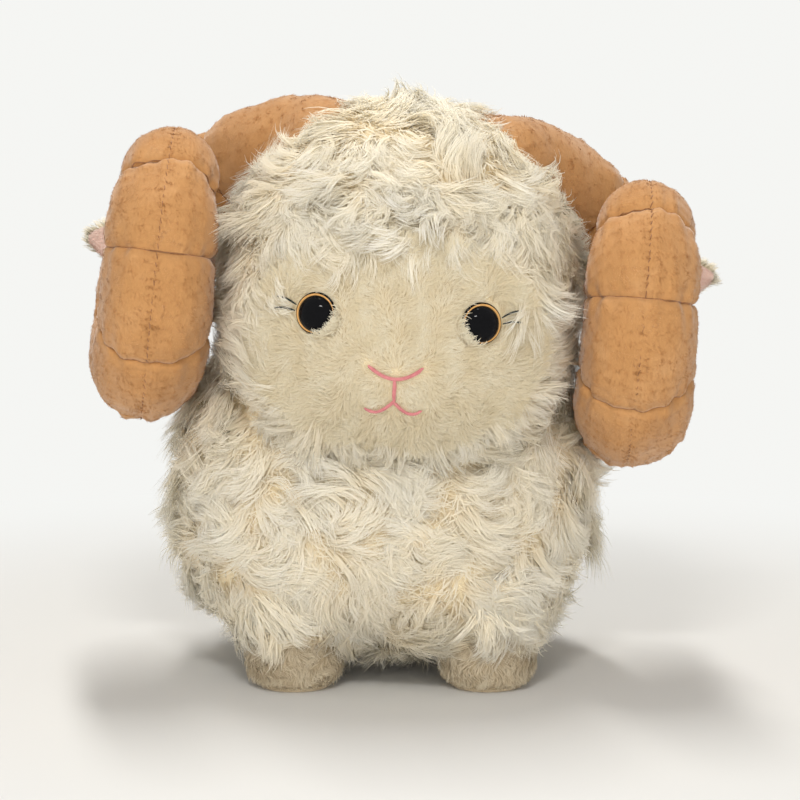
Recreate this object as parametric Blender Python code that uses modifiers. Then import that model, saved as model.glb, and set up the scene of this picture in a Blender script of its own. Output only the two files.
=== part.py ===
"""A stuffed sheep with sewn ram's horns, as the separate pieces that it is made of.

The sheep faces -Y and stands on its four soles at Z = 0. Left and right are the sheep's own:
its left side is +X. Units are metres.
"""
import math

import bmesh
import bpy
from mathutils import Matrix, Vector

# Cloth, gaps and thread
fleece_thickness = 0.003
pile_cloth_thickness = 0.002
seam_gap = 0.0003
stuffing_gap = 0.0004
cutter_overrun = 0.030
bend_room_share = 1.75

# Tufts of the fleece
tuft_depth = 0.0045
tuft_fade = 0.0180
tuft_stages = 3
tuft_waves = 5.0
tuft_wander_share = 0.08

# Body
body_width = 0.201
body_depth = 0.184
body_height = 0.160
body_ground_clearance = 0.011
body_setback = 0.0085
body_side_shift = 0.0085
body_round_share = 2.3
body_top_fullness_share = 2.4
body_base_fullness_share = 3.2
pellet_fill_height = 0.022

# Head
head_width = 0.167
head_depth = 0.152
head_height = 0.172
head_centre_height = 0.190
head_forward = 0.0325
head_roll = math.radians(3.6)
head_round_share = 2.5
head_top_fullness_share = 1.95
head_base_fullness_share = 2.9
neck_opening_width = 0.074
neck_opening_setback = 0.030
neck_rest_radius = 0.084

# Face panel and muzzle
face_width = 0.124
face_height = 0.088
face_drop = 0.022
muzzle_bulge = 0.009
muzzle_drop = 0.037
muzzle_width = 0.056
muzzle_height = 0.042

# Eyes
eye_diameter = 0.0190
pupil_diameter = 0.0158
eye_dome_height = 0.0052
eye_flange_thickness = 0.0012
iris_thickness = 0.0010
eye_stem_diameter = 0.0050
eye_stem_length = 0.0120
washer_diameter = 0.0150
washer_thickness = 0.0016
washer_seat_clearance = 0.0010
eye_spacing = 0.0735
eye_drop = 0.0090

# Embroidery
lash_thread_diameter = 0.0011
lash_length = 0.0085
lash_start_clearance = 0.0006
lash_degrees = (20.0, 2.0)
lash_steps = 2
mouth_thread_diameter = 0.0019
thread_stand_off = 0.0007
nose_width = 0.0240
nose_sag = 0.0053
nose_drop = 0.0350
lip_length = 0.0085
mouth_width = 0.0250
mouth_sag = 0.0062
mouth_corner_rise = 0.0016
mouth_hook_share = 2 / 3
stitch_steps = 8

LEFT = 1
RIGHT = -1
SIDE_NAMES = {LEFT: "left", RIGHT: "right"}

# Horns
horn_reach = 0.1200
horn_loop_radius = 0.0520
horn_radius = 0.0245
horn_setback = 0.0100
horn_rise = -0.0010
horn_roll = math.radians(2.1)
horn_seam_pinch_share = 0.86
horn_seam_degrees = (-12.0, 45.0, 92.0, 140.0, 188.0, 234.0, 278.0, 315.0, 349.0)
horn_reach_shares = (0.26, 0.70, 0.95, 0.99, 0.955, 0.93, 0.92, 0.92, 0.915)
horn_loop_shares = {
    LEFT: (1.17, 1.12, 1.06, 1.00, 0.97, 0.955, 0.935, 0.905, 0.83),
    RIGHT: (1.17, 1.12, 1.06, 1.00, 0.97, 0.96, 0.96, 0.95, 0.93),
}
horn_radius_shares = (0.88, 0.94, 0.98, 1.02, 1.06, 1.03, 0.99, 0.94, 0.88)
horn_ring_shares = (0.0, 0.16, 0.50, 0.84, 1.0)
horn_swell_shares = (0.0, 0.80, 1.0, 0.80, 0.0)
tip_ring_shares = (0.0, 0.16, 0.50, 0.76, 0.92)
tip_radius_shares = (0.86, 0.97, 0.93, 0.74, 0.45)
core_tip_share = 0.82
horn_frame_degrees = 1.0

# Ears
ear_length = 0.0640
ear_width = 0.0290
ear_thickness = 0.0085
ear_setback = 0.0100
ear_rise = 0.0005
ear_lift = math.radians(9.0)
ear_twist = math.radians(24.0)
ear_fullest_share = 0.55
ear_round_share = 2 / 3
ear_root_share = 0.48
ear_seam_clearance = 0.0008

# Legs
leg_width = 0.0470
foot_width = 0.0430
foot_round_height = 0.0150
sole_width = 0.0330
sole_thickness = 0.0020
leg_spacing = 0.0905
front_leg_forward = 0.0540
rear_leg_back = 0.0500
leg_height = 0.0560
foot_steps = 3

# Tail
tail_width = 0.0300
tail_length = 0.0370
tail_thickness = 0.0260
tail_seam_height = 0.1080
tail_hang_share = 0.2

# Facets of the round pieces
body_segments = 24
body_rings = 14
horn_sides = 12
turned_steps = 16
ear_segments = 14
ear_rings = 8

CREAM_FLEECE = ("cream_fleece", (0.80, 0.74, 0.60), 0.95)
SHORT_PILE = ("short_pile", (0.76, 0.68, 0.50), 0.92)
HORN_PILE = ("tan_pile", (0.62, 0.34, 0.16), 0.80)
PINK_PILE = ("pink_pile", (0.76, 0.46, 0.41), 0.88)
BLACK_GLOSS = ("black_gloss", (0.01, 0.01, 0.012), 0.08)
AMBER_GLOSS = ("amber_gloss", (0.68, 0.33, 0.09), 0.20)
DARK_THREAD = ("dark_thread", (0.02, 0.025, 0.025), 0.70)
PINK_THREAD = ("pink_thread", (0.60, 0.15, 0.18), 0.60)
WHITE_PLASTIC = ("white_plastic", (0.80, 0.80, 0.78), 0.45)
FIBRE_FILL = ("fibre_fill", (0.86, 0.86, 0.84), 0.98)
PELLET_CLOTH = ("pellet_cloth", (0.70, 0.68, 0.62), 0.95)

body_half = Vector((body_width / 2, body_depth / 2, body_height / 2))
head_half = Vector((head_width / 2, head_depth / 2, head_height / 2))
body_centre = Vector((-body_side_shift, body_setback, body_ground_clearance + body_height / 2))
head_centre = Vector((0, -head_forward, head_centre_height))

# The feet stand half way between the middle of the body and that of the head
leg_places = {}
for side, side_name in SIDE_NAMES.items():
    across = (body_centre.x + side * leg_spacing) / 2
    leg_places["front_leg_" + side_name] = Vector((across, body_centre.y - front_leg_forward, 0))
    leg_places["rear_leg_" + side_name] = Vector((across, body_centre.y + rear_leg_back, 0))


def clear_scene():
    for item in list(bpy.data.objects):
        bpy.data.objects.remove(item, do_unlink=True)


def new_collection(name):
    collection = bpy.data.collections.new(name)
    bpy.context.scene.collection.children.link(collection)
    return collection


def finish_material(finish):
    name, colour, roughness = finish
    material = bpy.data.materials.get(name)
    if material is None:
        material = bpy.data.materials.new(name)
        material.use_nodes = True
        shader = material.node_tree.nodes["Principled BSDF"]
        shader.inputs["Base Color"].default_value = (*colour, 1)
        shader.inputs["Roughness"].default_value = roughness
        shader.inputs["Metallic"].default_value = 0
    return material


def add_piece(name, data, finish, parent=None):
    piece = bpy.data.objects.new(name, data)
    data.materials.append(finish_material(finish))
    parts.objects.link(piece)
    piece.parent = parent
    return piece


def add_cutter(name, data, parent=None):
    cutter = bpy.data.objects.new(name, data)
    cutters.objects.link(cutter)
    cutter.parent = parent
    cutter.hide_render = True
    cutter.display_type = "WIRE"
    return cutter


def add_empty(name, location, parent=None, rotation=(0, 0, 0)):
    empty = bpy.data.objects.new(name, None)
    parts.objects.link(empty)
    empty.parent = parent
    empty.location = location
    empty.rotation_euler = rotation
    return empty


def cut(piece, cutter):
    modifier = piece.modifiers.new(cutter.name, "BOOLEAN")
    modifier.operation = "DIFFERENCE"
    modifier.solver = "EXACT"
    modifier.object = cutter


def thicken(piece, thickness):
    modifier = piece.modifiers.new("cloth", "SOLIDIFY")
    modifier.thickness = thickness
    modifier.offset = -1
    modifier.use_even_offset = True


def mesh_from(shape, name):
    mesh = bpy.data.meshes.new(name)
    shape.to_mesh(mesh)
    shape.free()
    mesh.shade_smooth()
    return mesh


# Swollen forms

def swollen_point(direction, half, round_share, fullness):
    """The point of a full, box-like ovoid that lies in a direction from its centre."""
    level = (abs(direction.x) ** round_share + abs(direction.y) ** round_share) ** (1 / round_share)
    reach = (level ** fullness + abs(direction.z) ** fullness) ** (-1 / fullness)
    return Vector([part * reach * size for part, size in zip(direction, half)])


def inset_half(half, inset):
    return Vector([size - inset for size in half])


def eased(share):
    share = min(max(share, 0), 1)
    return share * share * (3 - 2 * share)


def clear_share(distance):
    """How much of its depth a tuft has at a distance from a sewn edge."""
    return eased(distance / tuft_fade)


def body_point(direction, inset):
    fullness = body_top_fullness_share if direction.z > 0 else body_base_fullness_share
    return swollen_point(direction, inset_half(body_half, inset), body_round_share, fullness)


def body_back(height):
    """The Y of the middle of the back at a height above the floor."""
    rise = (height - body_centre.z) / body_half.z
    level = (1 - rise ** body_top_fullness_share) ** (1 / body_top_fullness_share)
    return body_centre.y + body_half.y * level


def body_tuft_share(direction):
    """The fleece lies flat where the legs and the tail are sewn to it."""
    place = body_centre + body_point(direction, 0)
    tail_seat = Vector((body_centre.x, body_back(tail_seam_height), tail_seam_height))
    share = clear_share((place - tail_seat).length - tail_length)
    if direction.z < 0:
        for leg in leg_places.values():
            share = min(share, clear_share((place - leg).to_2d().length - leg_width / 2))
    return share


def body_form(inset, sink=0):
    """The body's surface moved in by an inset, and by a sink where the fleece tufts."""

    def form(direction):
        share = body_tuft_share(direction) if sink else 0
        return body_point(direction, inset + sink * share)

    return form


def head_fullness(z):
    return head_top_fullness_share if z > 0 else head_base_fullness_share


def muzzle_height_at(x, z):
    """How far the muzzle swells out in front of the head's plain ovoid."""
    across = x / (muzzle_width / 2)
    upward = (z + muzzle_drop) / (muzzle_height / 2)
    return muzzle_bulge * math.exp(-(across * across + upward * upward) / 2)


def head_point(direction, inset):
    half = inset_half(head_half, inset)
    point = swollen_point(direction, half, head_round_share, head_fullness(direction.z))
    if point.y < 0:
        point.y -= muzzle_height_at(point.x, point.z)
    return point


def head_tuft_share(direction):
    """The fleece lies flat round the face, the horns, the ears and the neck."""
    place = head_point(direction, 0)
    neck = Vector((0, neck_opening_setback, -head_half.z))
    share = clear_share((place - neck).length - neck_rest_radius)
    if place.y < 0:
        oval = 2 * math.hypot(place.x / face_width, (place.z + face_drop) / face_height)
        share = min(share, clear_share((oval - 1) * face_height / 2))
    for side in SIDE_NAMES:
        share = min(share, clear_share((place - ear_root_point(side)).length - ear_width / 2))
        root = min((place - centre).length for centre in horn_root_line(side))
        share = min(share, clear_share(root - horn_radius))
    return share


def head_form(inset, sink=0):
    """The head's surface moved in by an inset, and by a sink where the fleece tufts."""

    def form(direction):
        share = head_tuft_share(direction) if sink else 0
        return head_point(direction, inset + sink * share)

    return form


def face_front(x, z, inset=0):
    """The Y of the head's front surface at a place on it, in the head's own frame."""
    half = inset_half(head_half, inset)
    fullness = head_fullness(z)
    level = (1 - abs(z / half.z) ** fullness) ** (1 / fullness)
    depth = (level ** head_round_share - abs(x / half.x) ** head_round_share) ** (1 / head_round_share)
    return -half.y * depth - muzzle_height_at(x, z)


def face_point(x, z, inset=0):
    return Vector((x, face_front(x, z, inset), z))


def face_normal(x, z):
    """The outward direction of the face, from two short steps along it."""
    step = eye_stem_diameter
    across = face_point(x + step, z) - face_point(x - step, z)
    upward = face_point(x, z + step) - face_point(x, z - step)
    return across.cross(upward).normalized()


def ovoid_mesh(name, form):
    shape = bmesh.new()
    bmesh.ops.create_uvsphere(shape, u_segments=body_segments, v_segments=body_rings, radius=1)
    bmesh.ops.triangulate(shape, faces=shape.faces[:], quad_method="FIXED")
    for vertex in shape.verts:
        vertex.co = form(vertex.co.normalized())
    return mesh_from(shape, name)


def wandered(direction):
    """A direction moved a little aside, so that the tufts stand less evenly."""
    aside = [math.sin(tuft_waves * part) for part in (direction.y, direction.z, direction.x)]
    return (direction + tuft_wander_share * Vector(aside)).normalized()


def tufted_mesh(name, form_at, inset, sink=0):
    """A finer ovoid, with every tuft on its form and the creases between them sunk below it."""
    peaks = form_at(inset)
    valleys = form_at(inset, sink)
    shape = bmesh.new()
    bmesh.ops.create_icosphere(shape, subdivisions=tuft_stages, radius=1)
    split = bmesh.ops.subdivide_edges(shape, edges=shape.edges[:], cuts=1, use_grid_fill=True)
    creases = set(split["geom_inner"])
    for vertex in shape.verts:
        form = valleys if vertex in creases else peaks
        vertex.co = form(wandered(vertex.co.normalized()))
    return mesh_from(shape, name)


def keep_one_side(mesh, point, normal):
    """Cuts a closed mesh with a plane, keeps what lies along the normal and closes it."""
    shape = bmesh.new()
    shape.from_mesh(mesh)
    everything = shape.verts[:] + shape.edges[:] + shape.faces[:]
    bmesh.ops.bisect_plane(shape, geom=everything, plane_co=point, plane_no=normal, clear_inner=True)
    rim = [edge for edge in shape.edges if edge.is_boundary]
    bmesh.ops.contextual_create(shape, geom=rim)
    bmesh.ops.recalc_face_normals(shape, faces=shape.faces)
    shape.to_mesh(mesh)
    shape.free()


# Body

def make_body(head_space):
    centre = add_empty("body_centre", body_centre)
    fleece = tufted_mesh("body_cover", body_form, 0, tuft_depth)
    cover = add_piece("body_cover", fleece, CREAM_FLEECE, centre)
    hollow = ovoid_mesh("body_hollow", body_form(fleece_thickness, tuft_depth))
    cut(cover, add_cutter("body_hollow", hollow, centre))
    cut(cover, head_space)
    filled = body_form(fleece_thickness + stuffing_gap, tuft_depth)
    bag_top = fleece_thickness + pellet_fill_height - body_half.z
    bag = ovoid_mesh("pellet_bag", filled)
    keep_one_side(bag, Vector((0, 0, bag_top)), Vector((0, 0, -1)))
    add_piece("pellet_bag", bag, PELLET_CLOTH, centre)
    fill = ovoid_mesh("body_stuffing", filled)
    keep_one_side(fill, Vector((0, 0, bag_top + stuffing_gap)), Vector((0, 0, 1)))
    stuffing = add_piece("body_stuffing", fill, FIBRE_FILL, centre)
    cut(stuffing, head_space)
    return centre


# Head

def elliptic_rod(name, width, height, length):
    """A rod along +Y with an elliptic section, from the origin to its length."""
    shape = bmesh.new()
    bmesh.ops.create_cone(shape, cap_ends=True, segments=2 * body_segments, radius1=1, radius2=1, depth=1)
    for vertex in shape.verts:
        across, upward, along = vertex.co
        vertex.co = Vector((across * width / 2, along * length + length / 2, upward * height / 2))
    bmesh.ops.recalc_face_normals(shape, faces=shape.faces)
    return mesh_from(shape, name)


def make_head(head):
    fleece = tufted_mesh("head_cover", head_form, 0, tuft_depth)
    cover = add_piece("head_cover", fleece, CREAM_FLEECE, head)
    hollow = ovoid_mesh("head_hollow", head_form(fleece_thickness, tuft_depth))
    cut(cover, add_cutter("head_hollow", hollow, head))
    opening_length = head_half.y + cutter_overrun
    face_hole = elliptic_rod(
        "face_opening",
        face_width + 2 * seam_gap,
        face_height + 2 * seam_gap,
        opening_length,
    )
    face_cutter = add_cutter("face_opening", face_hole, head)
    face_cutter.location = (0, -opening_length, -face_drop)
    cut(cover, face_cutter)
    neck_length = head_half.z + cutter_overrun
    neck_hole = elliptic_rod("neck_opening", neck_opening_width, neck_opening_width, neck_length)
    neck_cutter = add_cutter("neck_opening", neck_hole, head)
    neck_cutter.rotation_euler = (-math.pi / 2, 0, 0)
    neck_cutter.location = (0, neck_opening_setback, 0)
    cut(cover, neck_cutter)
    fill = ovoid_mesh("head_stuffing", head_form(fleece_thickness + stuffing_gap, tuft_depth))
    return add_piece("head_stuffing", fill, FIBRE_FILL, head)


def make_face_panel(head):
    """The short-pile panel: the front of the head's form inside an elliptic outline."""
    shape = bmesh.new()
    bmesh.ops.create_uvsphere(shape, u_segments=body_segments, v_segments=body_rings, radius=1)
    behind = [vertex for vertex in shape.verts if vertex.co.z < -seam_gap]
    bmesh.ops.delete(shape, geom=behind, context="VERTS")
    for vertex in shape.verts:
        x = vertex.co.x * face_width / 2
        z = vertex.co.y * face_height / 2 - face_drop
        vertex.co = face_point(x, z)
    panel = add_piece("face_panel", mesh_from(shape, "face_panel"), SHORT_PILE, head)
    thicken(panel, pile_cloth_thickness)
    return panel


# Turned pieces

def turned_piece(name, outline, finish, parent, closed_loop=False):
    """A profile in X and Z, turned about its own Z axis."""
    profile = bpy.data.meshes.new(name)
    count = len(outline)
    edges = [(index, index + 1) for index in range(count - 1)]
    if closed_loop:
        edges.append((count - 1, 0))
    profile.from_pydata([(x, 0, z) for x, z in outline], edges, [])
    piece = add_piece(name, profile, finish, parent)
    screw = piece.modifiers.new("turn", "SCREW")
    screw.steps = turned_steps
    screw.render_steps = turned_steps
    screw.use_merge_vertices = True
    screw.merge_threshold = seam_gap / 10
    screw.use_smooth_shade = True
    return piece


def rod_cutter(name, diameter, bottom, top, parent):
    """A round rod about the parent's Z axis, between two heights."""
    shape = bmesh.new()
    radius = diameter / 2
    bmesh.ops.create_cone(
        shape, cap_ends=True, segments=turned_steps, radius1=radius, radius2=radius, depth=top - bottom
    )
    bmesh.ops.translate(shape, verts=shape.verts, vec=Vector((0, 0, (top + bottom) / 2)))
    return add_cutter(name, mesh_from(shape, name), parent)


def eye_outline():
    """From the top of the dome down its side, along the flange and down the stem."""
    pupil_radius = pupil_diameter / 2
    flange_top = seam_gap + eye_flange_thickness
    points = []
    arc_steps = turned_steps // 4
    for step in range(arc_steps + 1):
        angle = math.pi / 2 * step / arc_steps
        height = flange_top + eye_dome_height * math.cos(angle)
        points.append((pupil_radius * math.sin(angle), height))
    points.append((eye_diameter / 2, flange_top))
    points.append((eye_diameter / 2, seam_gap))
    points.append((eye_stem_diameter / 2, seam_gap))
    points.append((eye_stem_diameter / 2, seam_gap - eye_stem_length))
    points.append((0, seam_gap - eye_stem_length))
    return points


def ring_outline(inner_diameter, outer_diameter, bottom, thickness):
    inner = inner_diameter / 2
    outer = outer_diameter / 2
    top = bottom + thickness
    return [(inner, top), (outer, top), (outer, bottom), (inner, bottom)]


def make_eye(side, head, panel, stuffing):
    label = SIDE_NAMES[side]
    x = side * eye_spacing / 2
    normal = face_normal(x, -eye_drop)
    seat = add_empty("eye_seat_" + label, face_point(x, -eye_drop), head)
    seat.rotation_euler = normal.to_track_quat("Z", "Y").to_euler()
    turned_piece("eye_" + label, eye_outline(), BLACK_GLOSS, seat)
    iris_bottom = seam_gap + eye_flange_thickness + seam_gap
    iris = ring_outline(pupil_diameter + 2 * seam_gap, eye_diameter, iris_bottom, iris_thickness)
    turned_piece("iris_ring_" + label, iris, AMBER_GLOSS, seat, closed_loop=True)
    washer_bottom = -(pile_cloth_thickness + washer_seat_clearance + washer_thickness)
    washer = ring_outline(
        eye_stem_diameter + 2 * seam_gap, washer_diameter, washer_bottom, washer_thickness
    )
    turned_piece("eye_washer_" + label, washer, WHITE_PLASTIC, seat, closed_loop=True)
    stem_hole_depth = pile_cloth_thickness + washer_seat_clearance
    stem_hole = rod_cutter(
        "eye_stem_hole_" + label, eye_stem_diameter + 2 * seam_gap, -stem_hole_depth, cutter_overrun, seat
    )
    cut(panel, stem_hole)
    pocket = rod_cutter(
        "washer_pocket_" + label,
        washer_diameter + 2 * stuffing_gap,
        -(eye_stem_length + stuffing_gap),
        cutter_overrun,
        seat,
    )
    cut(stuffing, pocket)


# Embroidered lines

def thread_line(name, places, diameter, finish, head):
    """A thread laid on the face through a list of places in X and Z."""
    stand_off = diameter / 2 + thread_stand_off
    curve = bpy.data.curves.new(name, "CURVE")
    curve.dimensions = "3D"
    curve.bevel_depth = diameter / 2
    curve.bevel_resolution = 1
    curve.use_fill_caps = True
    spline = curve.splines.new("POLY")
    spline.points.add(len(places) - 1)
    for point, (x, z) in zip(spline.points, places):
        point.co = (*face_point(x, z, -stand_off), 1)
    return add_piece(name, curve, finish, head)


def make_lashes(side, head):
    label = SIDE_NAMES[side]
    start = eye_diameter / 2 + lash_start_clearance
    for position, degrees in zip(("upper", "lower"), lash_degrees):
        turn = math.radians(degrees)
        places = []
        for step in range(lash_steps + 1):
            reach = start + lash_length * step / lash_steps
            x = side * (eye_spacing / 2 + reach * math.cos(turn))
            places.append((x, reach * math.sin(turn) - eye_drop))
        thread_line("lash_" + position + "_" + label, places, lash_thread_diameter, DARK_THREAD, head)


def make_nose_and_mouth(head):
    thread_gap = mouth_thread_diameter / 2 + seam_gap
    lip_top = -(nose_drop + thread_gap)
    lip_end = lip_top - lip_length
    mouth_top = lip_end - thread_gap
    nose = []
    mouth = []
    for step in range(stitch_steps + 1):
        across = 2 * step / stitch_steps - 1
        nose.append((across * nose_width / 2, nose_sag * across * across - nose_drop))
        dip = mouth_sag * math.sin(math.pi * mouth_hook_share * abs(across))
        rise = mouth_corner_rise * across * across
        mouth.append((across * mouth_width / 2, mouth_top - dip + rise))
    thread_line("nose_stitch", nose, mouth_thread_diameter, PINK_THREAD, head)
    thread_line("mouth_stitch", mouth, mouth_thread_diameter, PINK_THREAD, head)
    lip = [(0, lip_top), (0, (lip_top + lip_end) / 2), (0, lip_end)]
    thread_line("lip_stitch", lip, mouth_thread_diameter, PINK_THREAD, head)


# Horns

def smooth_read(degrees, shares):
    """Reads a table of shares at the seams as one smooth curve through them."""
    stops = horn_seam_degrees
    last = len(stops) - 2
    index = min(max(sum(1 for stop in stops if stop <= degrees) - 1, 0), last)
    part = (degrees - stops[index]) / (stops[index + 1] - stops[index])
    before = shares[max(index - 1, 0)]
    here, after = shares[index], shares[index + 1]
    beyond = shares[min(index + 2, len(shares) - 1)]
    slope_here = (after - before) / 2
    slope_after = (beyond - here) / 2
    cube, square = part ** 3, part ** 2
    return (
        here * (2 * cube - 3 * square + 1)
        + slope_here * (cube - 2 * square + part)
        + after * (3 * square - 2 * cube)
        + slope_after * (cube - square)
    )


def horn_centre(side, degrees):
    """A point of the horn's centre line, which loops up, back, down, forward and up again."""
    turn = math.radians(degrees)
    radius = horn_loop_radius * smooth_read(degrees, horn_loop_shares[side])
    reach = horn_reach * smooth_read(degrees, horn_reach_shares)
    return Vector((reach, horn_setback + radius * math.sin(turn), horn_rise + radius * math.cos(turn)))


def horn_root_line(side):
    """The centre line of the panel that is sewn to the head, in the head's own frame."""
    roll = Matrix.Rotation(horn_roll, 3, "Y")
    start, end = horn_seam_degrees[:2]
    line = []
    for share in horn_ring_shares:
        centre = horn_centre(side, start + (end - start) * share)
        line.append(roll @ Vector((side * centre.x, centre.y, centre.z)))
    return line


def horn_frame(side, degrees):
    """The direction of the centre line, and two directions square to it."""
    before = horn_centre(side, degrees - horn_frame_degrees)
    along = (horn_centre(side, degrees + horn_frame_degrees) - before).normalized()
    outward = (Vector((1, 0, 0)) - along * along.x).normalized()
    return along, outward, along.cross(outward)


def horn_ring(side, degrees, radius, shift):
    along, outward, third = horn_frame(side, degrees)
    centre = horn_centre(side, degrees) + along * shift
    ring = []
    for side_index in range(horn_sides):
        turn = 2 * math.pi * side_index / horn_sides
        ring.append(centre + radius * (outward * math.cos(turn) + third * math.sin(turn)))
    return ring


def horn_panel_rings(side, index, inset=0):
    """The rings of one sewn panel, from its lower seam to its upper one."""
    start, end = horn_seam_degrees[index], horn_seam_degrees[index + 1]
    is_tip = index == len(horn_seam_degrees) - 2
    places = tip_ring_shares if is_tip else horn_ring_shares
    length_share = core_tip_share if is_tip and inset else 1
    rings = []
    for position, share in enumerate(places):
        degrees = start + (end - start) * share * length_share
        full = horn_radius * smooth_read(degrees, horn_radius_shares)
        swell = horn_seam_pinch_share + (1 - horn_seam_pinch_share) * horn_swell_shares[position]
        radius = full * (tip_radius_shares[position] if is_tip else swell)
        shift = 0
        if share == 0:
            shift = seam_gap / 2
        elif share == 1:
            shift = -seam_gap / 2
        rings.append(horn_ring(side, degrees, radius - inset, shift))
    return rings


def horn_tip_point(side, length_share=1):
    start, end = horn_seam_degrees[-2:]
    return horn_centre(side, start + (end - start) * length_share)


def loft(name, rings, side, start_cap=False, end_point=None):
    """Joins rings of points with faces, mirrored for the right side."""
    shape = bmesh.new()
    rows = []
    for ring in rings:
        rows.append([shape.verts.new((side * point.x, point.y, point.z)) for point in ring])
    order = 1 if side == LEFT else -1
    count = len(rows[0])
    for lower, upper in zip(rows, rows[1:]):
        for index in range(count):
            after = (index + 1) % count
            shape.faces.new((lower[index], lower[after], upper[after], upper[index])[::order])
    if start_cap:
        shape.faces.new(rows[0][::-order])
    if end_point is not None:
        pole = shape.verts.new((side * end_point.x, end_point.y, end_point.z))
        for index in range(count):
            after = (index + 1) % count
            shape.faces.new((rows[-1][index], rows[-1][after], pole)[::order])
    return mesh_from(shape, name)


def make_horn(side, head, head_space):
    label = SIDE_NAMES[side]
    mount = add_empty("horn_mount_" + label, (0, 0, 0), head, (0, horn_roll, 0))
    panel_count = len(horn_seam_degrees) - 1
    core_rings = []
    core_inset = pile_cloth_thickness * bend_room_share + stuffing_gap
    for index in range(panel_count):
        is_tip = index == panel_count - 1
        name = "horn_panel_" + label + "_" + str(index + 1)
        end_point = horn_tip_point(side) if is_tip else None
        mesh = loft(name, horn_panel_rings(side, index), side, end_point=end_point)
        panel = add_piece(name, mesh, HORN_PILE, mount)
        thicken(panel, pile_cloth_thickness)
        if index == 0:
            cut(panel, head_space)
        core_rings += horn_panel_rings(side, index, core_inset)
    name = "horn_stuffing_" + label
    core_tip = horn_tip_point(side, core_tip_share)
    core = loft(name, core_rings, side, start_cap=True, end_point=core_tip)
    stuffing = add_piece(name, core, FIBRE_FILL, mount)
    cut(stuffing, head_space)


# Ears

def ear_form(direction):
    """A flat leaf that runs out along +X, widest past its middle and narrower at its root."""
    share = (direction.z + 1) / 2
    lean = share ** (math.log(1 / 2) / math.log(ear_fullest_share))
    root = ear_root_share * (1 - share)
    width_share = root + (1 - root) * math.sin(math.pi * lean) ** ear_round_share
    ring = math.hypot(direction.y, direction.x)
    if share <= 0 or share >= 1:
        width_share = 0
        ring = 1
    return Vector((
        ear_length * share - ear_thickness * (1 - share),
        direction.y / ring * width_share * ear_thickness / 2,
        direction.x / ring * width_share * ear_width / 2,
    ))


def ear_half(name, layer):
    shape = bmesh.new()
    bmesh.ops.create_uvsphere(shape, u_segments=ear_segments, v_segments=ear_rings, radius=1)
    for vertex in shape.verts:
        vertex.co = ear_form(vertex.co.normalized())
    bmesh.ops.recalc_face_normals(shape, faces=shape.faces)
    mesh = mesh_from(shape, name)
    keep_one_side(mesh, Vector((0, layer * seam_gap / 2, 0)), Vector((0, layer, 0)))
    return mesh


def ear_root_point(side):
    """Where the ear's seam meets the side of the head."""
    fullness = head_fullness(ear_rise)
    level = (1 - (ear_rise / head_half.z) ** fullness) ** (1 / fullness)
    used = (ear_setback / head_half.y) ** head_round_share
    reach = head_half.x * (level ** head_round_share - used) ** (1 / head_round_share)
    return Vector((side * (reach + ear_seam_clearance), ear_setback, ear_rise))


def make_ear(side, head, ear_space):
    """A fleece back and a short-pile lining, both trimmed to the side of the head."""
    label = SIDE_NAMES[side]
    hinge = add_empty("ear_hinge_" + label, ear_root_point(side), head)
    turn_out = 0 if side == LEFT else math.pi
    lean = Matrix.Rotation(-ear_lift, 4, "Y")
    twist = Matrix.Rotation(side * ear_twist, 4, "X")
    hinge.rotation_euler = (Matrix.Rotation(turn_out, 4, "Z") @ lean @ twist).to_euler()
    for name, layer in (("ear_back_", side), ("ear_lining_", -side)):
        finish = CREAM_FLEECE if name == "ear_back_" else PINK_PILE
        half = add_piece(name + label, ear_half(name + label, layer), finish, hinge)
        cut(half, ear_space)


# Legs

def leg_outline(inset, bottom):
    """The leg's side from its hidden top down to the rounded rim of its sole."""
    leg_radius = leg_width / 2 - inset
    foot_radius = foot_width / 2 - inset
    sole_radius = sole_width / 2
    points = [(leg_radius, leg_height), (leg_radius, leg_height / 2), (foot_radius, foot_round_height)]
    for step in range(1, foot_steps + 1):
        turn = math.pi / 2 * step / foot_steps
        radius = sole_radius + (foot_radius - sole_radius) * math.cos(turn)
        height = bottom + (foot_round_height - bottom) * (1 - math.sin(turn))
        points.append((radius, height))
    return points


def make_leg(name, place, body_space):
    foot = add_empty(name + "_centre", place)
    cover = turned_piece(name + "_cover", leg_outline(0, sole_thickness + seam_gap), SHORT_PILE, foot)
    thicken(cover, pile_cloth_thickness)
    cut(cover, body_space)
    sole = [(0, sole_thickness), (sole_width / 2, sole_thickness), (sole_width / 2, 0), (0, 0)]
    turned_piece(name + "_sole", sole, SHORT_PILE, foot)
    inset = pile_cloth_thickness * bend_room_share + stuffing_gap
    side = leg_outline(inset, sole_thickness + seam_gap + inset)
    outline = [(0, leg_height)] + side + [(0, side[-1][1])]
    stuffing = turned_piece(name + "_stuffing", outline, FIBRE_FILL, foot)
    cut(stuffing, body_space)


# Tail

def make_tail(body_space):
    """A small stuffed tail, sewn to the back along the seam at its top."""
    seam_y = body_back(tail_seam_height) + seam_gap
    hinge = add_empty("tail_hinge", (body_centre.x, seam_y, tail_seam_height))
    half = Vector((tail_width / 2, tail_thickness / 2, tail_length / 2))
    hang = Vector((0, tail_hang_share * tail_thickness, -tail_length / 2))

    def form(direction):
        return swollen_point(direction, half, 2, 2) + hang

    tail = add_piece("tail", ovoid_mesh("tail", form), CREAM_FLEECE, hinge)
    cut(tail, body_space)


clear_scene()
parts = new_collection("plush_sheep")
cutters = new_collection("plush_sheep_cutters")

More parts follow.
